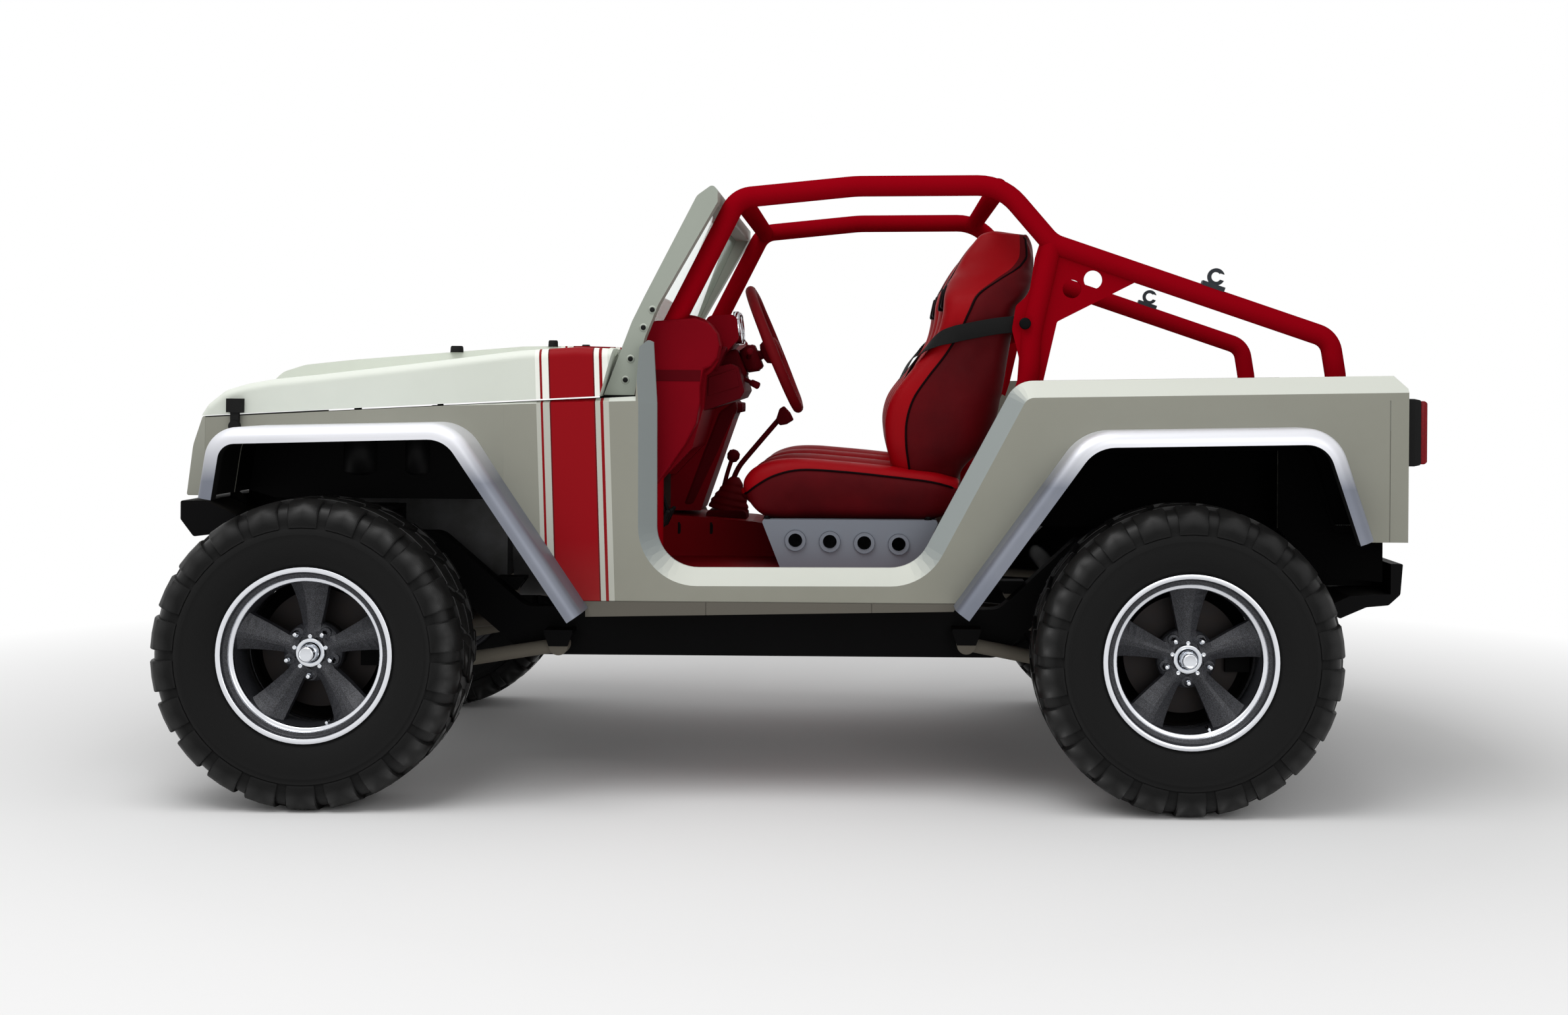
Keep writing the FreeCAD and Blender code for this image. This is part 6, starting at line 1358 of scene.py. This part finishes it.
def foam_form(stations, side):
    """A closed grid through the stations, with its three leathers told apart by the seams."""
    build = bmesh.new()
    rows = []
    for fx, fz, rx, rz, half, sunk, seam in smooth_line([Vector(s) for s in stations], 5):
        depth = math.hypot(rx - fx, rz - fz)
        seam = min(seam, 0.92 * depth)
        halves = half_ring(depth, sunk, seam)
        ring = halves + [(-share, behind) for share, behind in halves[-2:0:-1]]
        row = []
        for share, behind in ring:
            x, z = fx + (rx - fx) * behind / depth, fz + (rz - fz) * behind / depth
            row.append(spot(x, side * SEAT_SIDE + share * half, z))
        rows.append(row)
    count = len(rows[0])
    for end, inner in ((0, 1), (-1, -2)):
        middle = sum(rows[end], Vector()) / count
        out = (middle - sum(rows[inner], Vector()) / count).normalized()
        domes = [[middle + (p - middle) * s + out * rise / 1000 for p in rows[end]] for s, rise in END_DOME]
        rows = domes[::-1] + rows if end == 0 else rows + domes
    verts = [[build.verts.new(p) for p in row] for row in rows]
    for low, high in zip(verts, verts[1:]):
        for i in range(count):
            face = build.faces.new([low[i], low[(i + 1) % count], high[(i + 1) % count], high[i]])
            around = min(i, count - 1 - i)
            face.material_index = 2 if around < INNER_SEAM else 0 if around < OUTER_SEAM else 1
            face.smooth = True
    for row in (verts[0], verts[-1]):
        build.faces.new(row).smooth = True
    return build, rows, count


def sewn_lines(kind, rows, count):
    """The seams along both bolsters, and the channels stitched across the middle."""
    dome = len(END_DOME)
    body = rows[dome:-dome]
    seams = (INNER_SEAM, count - INNER_SEAM, OUTER_SEAM, count - OUTER_SEAM)
    lines = [[row[i] for row in body] for i in seams]
    for station in CHANNELS[kind]:
        row = body[5 * station]
        lines.append([row[i % count] for i in range(-INNER_SEAM, INNER_SEAM + 1)])
    return lines


def blow_up(piece, lines):
    """Swells the cover with Cloth over its foam while the seams hold it down, and keeps the swollen mesh."""
    stitches = [point for line in lines for point in smooth_line(line, 4)]
    seams = mathutils.kdtree.KDTree(len(stitches))
    for stitch in stitches:
        seams.insert(stitch, 0)
    seams.balance()
    rest = [v.co.copy() for v in piece.data.vertices]
    reach = [seams.find(co)[2] for co in rest]
    sewn = piece.vertex_groups.new(name="sewn")
    sewn.add([i for i, r in enumerate(reach) if r < SEWN_REACH], 1.0, "REPLACE")
    cloth = piece.modifiers.new("foam pressure", "CLOTH")
    cover = cloth.settings
    cover.quality = 4
    cover.mass = 0.3
    cover.tension_stiffness = 12
    cover.compression_stiffness = 12
    cover.shear_stiffness = 5
    cover.bending_stiffness = 0.6
    cover.use_pressure = True
    cover.uniform_pressure_force = 4.0
    cover.effector_weights.gravity = 0
    cover.vertex_group_mass = "sewn"
    cloth.point_cache.frame_start = 1
    cloth.point_cache.frame_end = CLOTH_STEPS
    for step in range(1, CLOTH_STEPS + 1):
        bpy.context.scene.frame_set(step)
    swollen = piece.evaluated_get(bpy.context.evaluated_depsgraph_get())
    moved = [v.co.copy() for v in swollen.data.vertices]
    piece.modifiers.remove(cloth)
    bpy.context.scene.frame_set(1)
    for vertex, start, end in zip(piece.data.vertices, rest, moved):
        step = end - start
        vertex.co = start + step * min(1.0, SWELLING / max(step.length, 1e-6))
    normals = [v.normal.copy() for v in piece.data.vertices]
    for vertex, normal, r in zip(piece.data.vertices, normals, reach):
        if r < SEAM_REACH:
            vertex.co -= normal * SEAM_DEPTH * (1 - r / SEAM_REACH)


def lay_welt(name, line, piece):
    """A piping cord that lies on the finished cover along a sewn line, with its ends tucked in."""
    cover = mathutils.bvhtree.BVHTree.FromPolygons(
        [v.co for v in piece.data.vertices], [list(p.vertices) for p in piece.data.polygons],
    )
    places = []
    for i, point in enumerate(line):
        place, normal, index, gap = cover.find_nearest(point)
        places.append(place + normal * (.0010 if 0 < i < len(line) - 1 else -.006))
    round_bar(name, places, .0032, piping_black)


for side, hand in ((-1, "left"), (1, "right")):
    for kind, stations in (("back", BACK), ("cushion", CUSHION)):
        build, rows, count = foam_form(stations, side)
        name = "seat_" + kind + "_" + hand
        pad = fit(name, build, [front_leather, side_leather, insert_leather], "chassis")
        lines = sewn_lines(kind, rows, count)
        blow_up(pad, lines)
        smooth = pad.modifiers.new("smooth cover", "SUBSURF")
        smooth.levels = 2
        smooth.render_levels = 2
        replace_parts(pad, "seats")
        for i, line in enumerate(lines[:4]):
            lay_welt(name + "_welt_" + str(i), line[:-1], pad)

    build = bmesh.new()
    for across in (-HARNESS_HALF, HARNESS_HALF):
        grommet = [(.034, -.010), (.036, .006), (.031, .009), (.026, .006), (.024, .004), (0, .004)]
        place = spot(HARNESS_SLOT[0], side * SEAT_SIDE + across, HARNESS_SLOT[1])
        turned(build, grommet, place, (-.98, 0, .2), 28)
    fit("harness_slots_" + hand, build, [piping_black], "chassis")


# Seat belts
# Black polyester webbing 48 mm wide, from a swivel on the cage over the bolster to a buckle in the crease.
# The swivel is a pressed steel plate under a black cap, and the buckle stands on a short stalk.

def webbing():
    """Woven polyester: slanting twill ribs about 1.6 mm apart, which catch a soft light."""
    material, tree, place = new_material("black_polyester_webbing")
    ribs = {"Vector": place, "Scale": 1 / 0.0045, "Distortion": 0.4}
    weave = add(tree, "TexWave", ribs, bands_direction="DIAGONAL")
    colour = add(
        tree, "Mix", {0: weave.outputs[1], 6: linear("#060606"), 7: linear("#141414")}, data_type="RGBA",
    )
    relief = add(tree, "Bump", {"Height": weave.outputs[1], "Strength": 0.4, "Distance": 0.0004})
    surface(tree, {
        "Base Color": colour.outputs[2], "Roughness": 0.75, "Specular IOR Level": 0.15,
        "Normal": relief.outputs[0],
    })
    return material


BELT_WIDTH = 0.048
BELT_THICKNESS = 0.0024
BELT_ROUTE = [
    ((757, 630, 1357), (0, 0, 1)), ((690, 630, 1350), (0, 0, 1)), ((606, 627, 1334), (.05, 0, 1)),
    ((568, 624, 1325), (.15, -.1, 1)), ((523, 607, 1309), (.3, -.4, .9)),
    ((478, 562, 1273), (.42, -.75, .5)), ((438, 460, 1203), (.42, -.75, .5)),
    ((406, 362, 1130), (.4, -.75, .5)), ((398, 312, 1072), (.2, -.9, .4)),
    ((399, 287, 1022), (.05, -1, .2)), ((400, 284, 1000), (0, -1, 0)),
]
BELT_SWIVEL = (772, 676, 1357)
BUCKLE = [
    (395, 1006), (405, 1006), (409, 1000), (409, 946), (405, 940), (395, 940), (391, 946), (391, 1000),
]
BUCKLE_SIDES = (262, 306)
BUCKLE_STALK = (400, 284, 885)
STRAP_SECTION = [(1, .4), (.94, 1), (-.94, 1), (-1, .4), (-1, -.4), (-.94, -1), (.94, -1), (1, -.4)]


def strap(build, stations, width, thick):
    """A flat strap through (place, direction of its width) pairs."""
    places = smooth_line([place for place, across in stations], 6)
    widths = smooth_line([across for place, across in stations], 6)
    rows = []
    for i, (place, across) in enumerate(zip(places, widths)):
        ahead = places[min(i + 1, len(places) - 1)] - places[max(i - 1, 0)]
        normal = ahead.cross(across).normalized()
        across = normal.cross(ahead).normalized() * width / 2
        lift = normal * thick / 2
        rows.append([place + across * a + lift * b for a, b in STRAP_SECTION])
    skin(build, rows, smooth=True)


belt_black = webbing()
for side, hand in ((-1, "left"), (1, "right")):
    build = bmesh.new()
    stations = [(spot(x, side * y, z), Vector((a, side * b, c))) for (x, y, z), (a, b, c) in BELT_ROUTE]
    strap(build, stations, BELT_WIDTH, BELT_THICKNESS)
    belt = fit("belt_" + hand, build, [belt_black], "chassis")
    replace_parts(belt, "seat_belts")
    build = bmesh.new()
    slab(build, BUCKLE, *(side * y for y in BUCKLE_SIDES))
    x, y, z = BUCKLE_STALK
    turned(build, [(.006, 0), (.006, .06)], spot(x, side * y, z), (0, 0, 1), 10)
    swivel = [(.017, 0), (.017, .004), (.014, .008), (.006, .0095), (0, .0095)]
    x, y, z = BELT_SWIVEL
    turned(build, swivel, spot(x, side * y, z), (0, side, 0), 28)
    fit("buckle_" + hand, build, [dial_black], "chassis", edge=0.002)


# Lamps
# Round head lamps of 172 mm with a fluted lens over an aluminised bowl, and tail lamps with a red lens.
# The lens of a tail lamp is moulded acrylic with small prisms, and stands on a black base.

WAVE_BAND = 0.314


def fluted_glass():
    """Pressed lamp glass: vertical flutes of 7 mm in the back of the lens break up the bowl behind it."""
    material, tree, place = new_material("fluted_lamp_glass")
    flutes = add(tree, "TexWave", {"Vector": place, "Scale": WAVE_BAND / 0.007}, bands_direction="Y")
    relief = add(tree, "Bump", {"Height": flutes.outputs[1], "Strength": 0.4, "Distance": 0.002})
    surface(tree, {
        "Base Color": linear("#f4f8fa"), "Roughness": 0.05, "IOR": 1.5, "Transmission Weight": 1.0,
        "Normal": relief.outputs[0],
    })
    return material


def lens_acrylic(name, code, deep):
    """Dyed acrylic with moulded prisms of 5 mm, glossy outside, each prism painted lighter in its middle as a
    painted highlight.
    """
    material, tree, place = new_material(name)
    prisms = add(tree, "TexVoronoi", {"Vector": place, "Scale": 1 / 0.005}, distance="CHEBYCHEV")
    colour = add(
        tree, "Mix", {0: prisms.outputs["Distance"], 6: linear(code), 7: linear(deep)}, data_type="RGBA",
    )
    surface(tree, {
        "Base Color": colour.outputs[2], "Roughness": 0.15, "IOR": 1.49, "Specular IOR Level": 0.15,
        "Subsurface Weight": 0.15, "Subsurface Scale": 0.01,
    })
    return material


HEAD_LAMP = (-1600, 455, 962)
TAIL_LAMP_LOW = (1844, 652, 958)
TAIL_LAMP_HIGH = (1896, 738, 1150)
LENS_FRONT = 1894
LENS_BACK = 1915

lamp_glass = fluted_glass()
red_lens = lens_acrylic("red_lamp_acrylic", "#8c0410", "#5a0208")
for side, hand in ((-1, "left"), (1, "right")):
    build = bmesh.new()
    x, y, z = HEAD_LAMP
    place, out = spot(x, side * y, z), (-1, 0, 0)
    reflector = [(.030, .006), (.070, .030), (.077, .040), (.080, .0405), (.080, -.004), (0, -.004)]
    turned(build, reflector, place, out, 56, 0)
    rim = [(.079, .036), (.0855, .036), (.086, .046), (.083, .0515), (.0775, .0525), (.0765, .046)]
    turned(build, rim, place, out, 56, 1)
    turned(build, [(.012, .006), (.012, .026), (.007, .032), (0, .033)], place, out, 24, 1)
    bowl = fit("head_lamp_bowl_" + hand, build, [polished, bright], "chassis")
    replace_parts(bowl, "head_lamps")
    build = bmesh.new()
    front = [(.077, .047), (.070, .0502), (.050, .0540), (.025, .0556), (0, .0560)]
    back = [(.025, .0516), (.050, .0500), (.070, .0462), (.077, .043), (.077, .047)]
    turned(build, front + back, place, out, 56)
    cover = fit("head_lamp_lens_" + hand, build, [lamp_glass], "chassis")
    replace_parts(cover, "head_lamps")


def bevelled_box(build, low, high, draft):
    """A box from its lowest and highest corners in millimetres, drawn in by the draft at its rear face."""
    (x0, y0, z0), (x1, y1, z1) = low, high
    rows = []
    for x, inset in ((x0, 0), (x0 + .6 * (x1 - x0), 0), (x1, draft)):
        left, right, foot, top = y0 + inset, y1 - inset, z0 + inset, z1 - inset
        rows.append([spot(x, left, foot), spot(x, right, foot), spot(x, right, top), spot(x, left, top)])
    skin(build, rows)


for side, hand in ((-1, "left"), (1, "right")):
    build = bmesh.new()
    (front, inner, foot), (back, outer, top) = TAIL_LAMP_LOW, TAIL_LAMP_HIGH
    near, far = sorted((side * inner, side * outer))
    bevelled_box(build, (front, near, foot), (back, far, top), 4)
    housing = fit("tail_lamp_base_" + hand, build, [soft_black], "chassis", edge=0.005)
    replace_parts(housing, "tail_lamps")
    build = bmesh.new()
    bevelled_box(build, (LENS_FRONT, near + 5, foot + 6), (LENS_BACK, far - 5, top - 6), 6)
    cover = fit("tail_lamp_lens_" + hand, build, [red_lens], "chassis", edge=0.003)
    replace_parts(cover, "tail_lamps")


# Studio
# A pale floor that fades to white away from the vehicle, plain white surroundings, and two large soft lamps.
# What the camera sees itself is plain white, and a weaker light falls on the vehicle from all sides.

def seen_directly(tree):
    """1 for what the camera sees itself, in a reflection or through glass, else 0."""
    ray = add(tree, "LightPath").outputs
    seen = add(tree, "Math", {0: ray["Is Camera Ray"], 1: ray["Is Glossy Ray"]}, operation="MAXIMUM")
    return add(tree, "Math", {0: seen.outputs[0], 1: ray["Is Transmission Ray"]}, operation="MAXIMUM")


FLOOR_HALF = 40.0
build = bmesh.new()
corners = [(-1, -1), (1, -1), (1, 1), (-1, 1)]
build.faces.new([build.verts.new((x * FLOOR_HALF, y * FLOOR_HALF, 0)) for x, y in corners])
mesh = bpy.data.meshes.new("studio_floor")
build.to_mesh(mesh)
build.free()
floor = bpy.data.objects.new("studio_floor", mesh)
bpy.context.scene.collection.objects.link(floor)

material, tree, place = new_material("pale_floor")
away = add(tree, "VectorMath", {0: place}, operation="LENGTH")
fade = add(tree, "MapRange", {"Value": away.outputs["Value"], "From Min": 2.2, "From Max": 4.5})
white = add(tree, "Math", {0: fade.outputs[0], 1: seen_directly(tree).outputs[0]}, operation="MULTIPLY")
matt = add(tree, "BsdfDiffuse", {"Color": linear("#f4f4f4")})
glow = add(tree, "Emission", {"Color": (1, 1, 1, 1), "Strength": 1.0})
mixed = add(tree, "MixShader", {0: white.outputs[0], 1: matt.outputs[0], 2: glow.outputs[0]})
add(tree, "OutputMaterial", {"Surface": mixed.outputs[0]})
mesh.materials.append(material)

world = bpy.data.worlds.new("white_studio")
world.use_nodes = True
tree = world.node_tree
tree.nodes.clear()
level = add(tree, "MapRange", {"Value": seen_directly(tree).outputs[0], "To Min": 0.56, "To Max": 1.0})
sky = add(tree, "Background", {"Color": (1, 1, 1, 1), "Strength": level.outputs[0]})
add(tree, "OutputWorld", {"Surface": sky.outputs[0]})
bpy.context.scene.world = world


def soft_lamp(name, place, target, size, power):
    """A square lamp that faces a point."""
    lamp = bpy.data.lights.new(name, "AREA")
    lamp.shape = "SQUARE"
    lamp.size = size
    lamp.energy = power
    piece = bpy.data.objects.new(name, lamp)
    bpy.context.scene.collection.objects.link(piece)
    piece.location = place
    piece.rotation_euler = (Vector(target) - Vector(place)).to_track_quat("-Z", "Y").to_euler()


soft_lamp("key_lamp", (-1.5, -2.5, 5.5), (0, 0, 0.8), 4.0, 150)
soft_lamp("fill_lamp", (2.5, -6.5, 2.5), (0, 0, 0.8), 3.0, 55)


# Camera
# It stands at the left side, a little above the sill, and looks square across the vehicle. Its focal length
# and shift are in picture points.

SENSOR_WIDTH = 36
PICTURE_WIDTH = 2380
FOCAL_LENGTH = 2833
SHIFT = (-130, -190)
CAMERA_PLACE = (0.200, -6.035, 1.185)
CAMERA_ROLL = math.radians(-0.455)

lens = bpy.data.cameras.new("side_camera")
lens.sensor_width = SENSOR_WIDTH
lens.lens = SENSOR_WIDTH * FOCAL_LENGTH / PICTURE_WIDTH
lens.shift_x = SHIFT[0] / PICTURE_WIDTH
lens.shift_y = SHIFT[1] / PICTURE_WIDTH
camera = bpy.data.objects.new("side_camera", lens)
bpy.context.scene.collection.objects.link(camera)
camera.location = CAMERA_PLACE
camera.rotation_euler = (math.pi / 2, CAMERA_ROLL, 0)
bpy.context.scene.camera = camera
bpy.context.scene.view_settings.view_transform = "Standard"
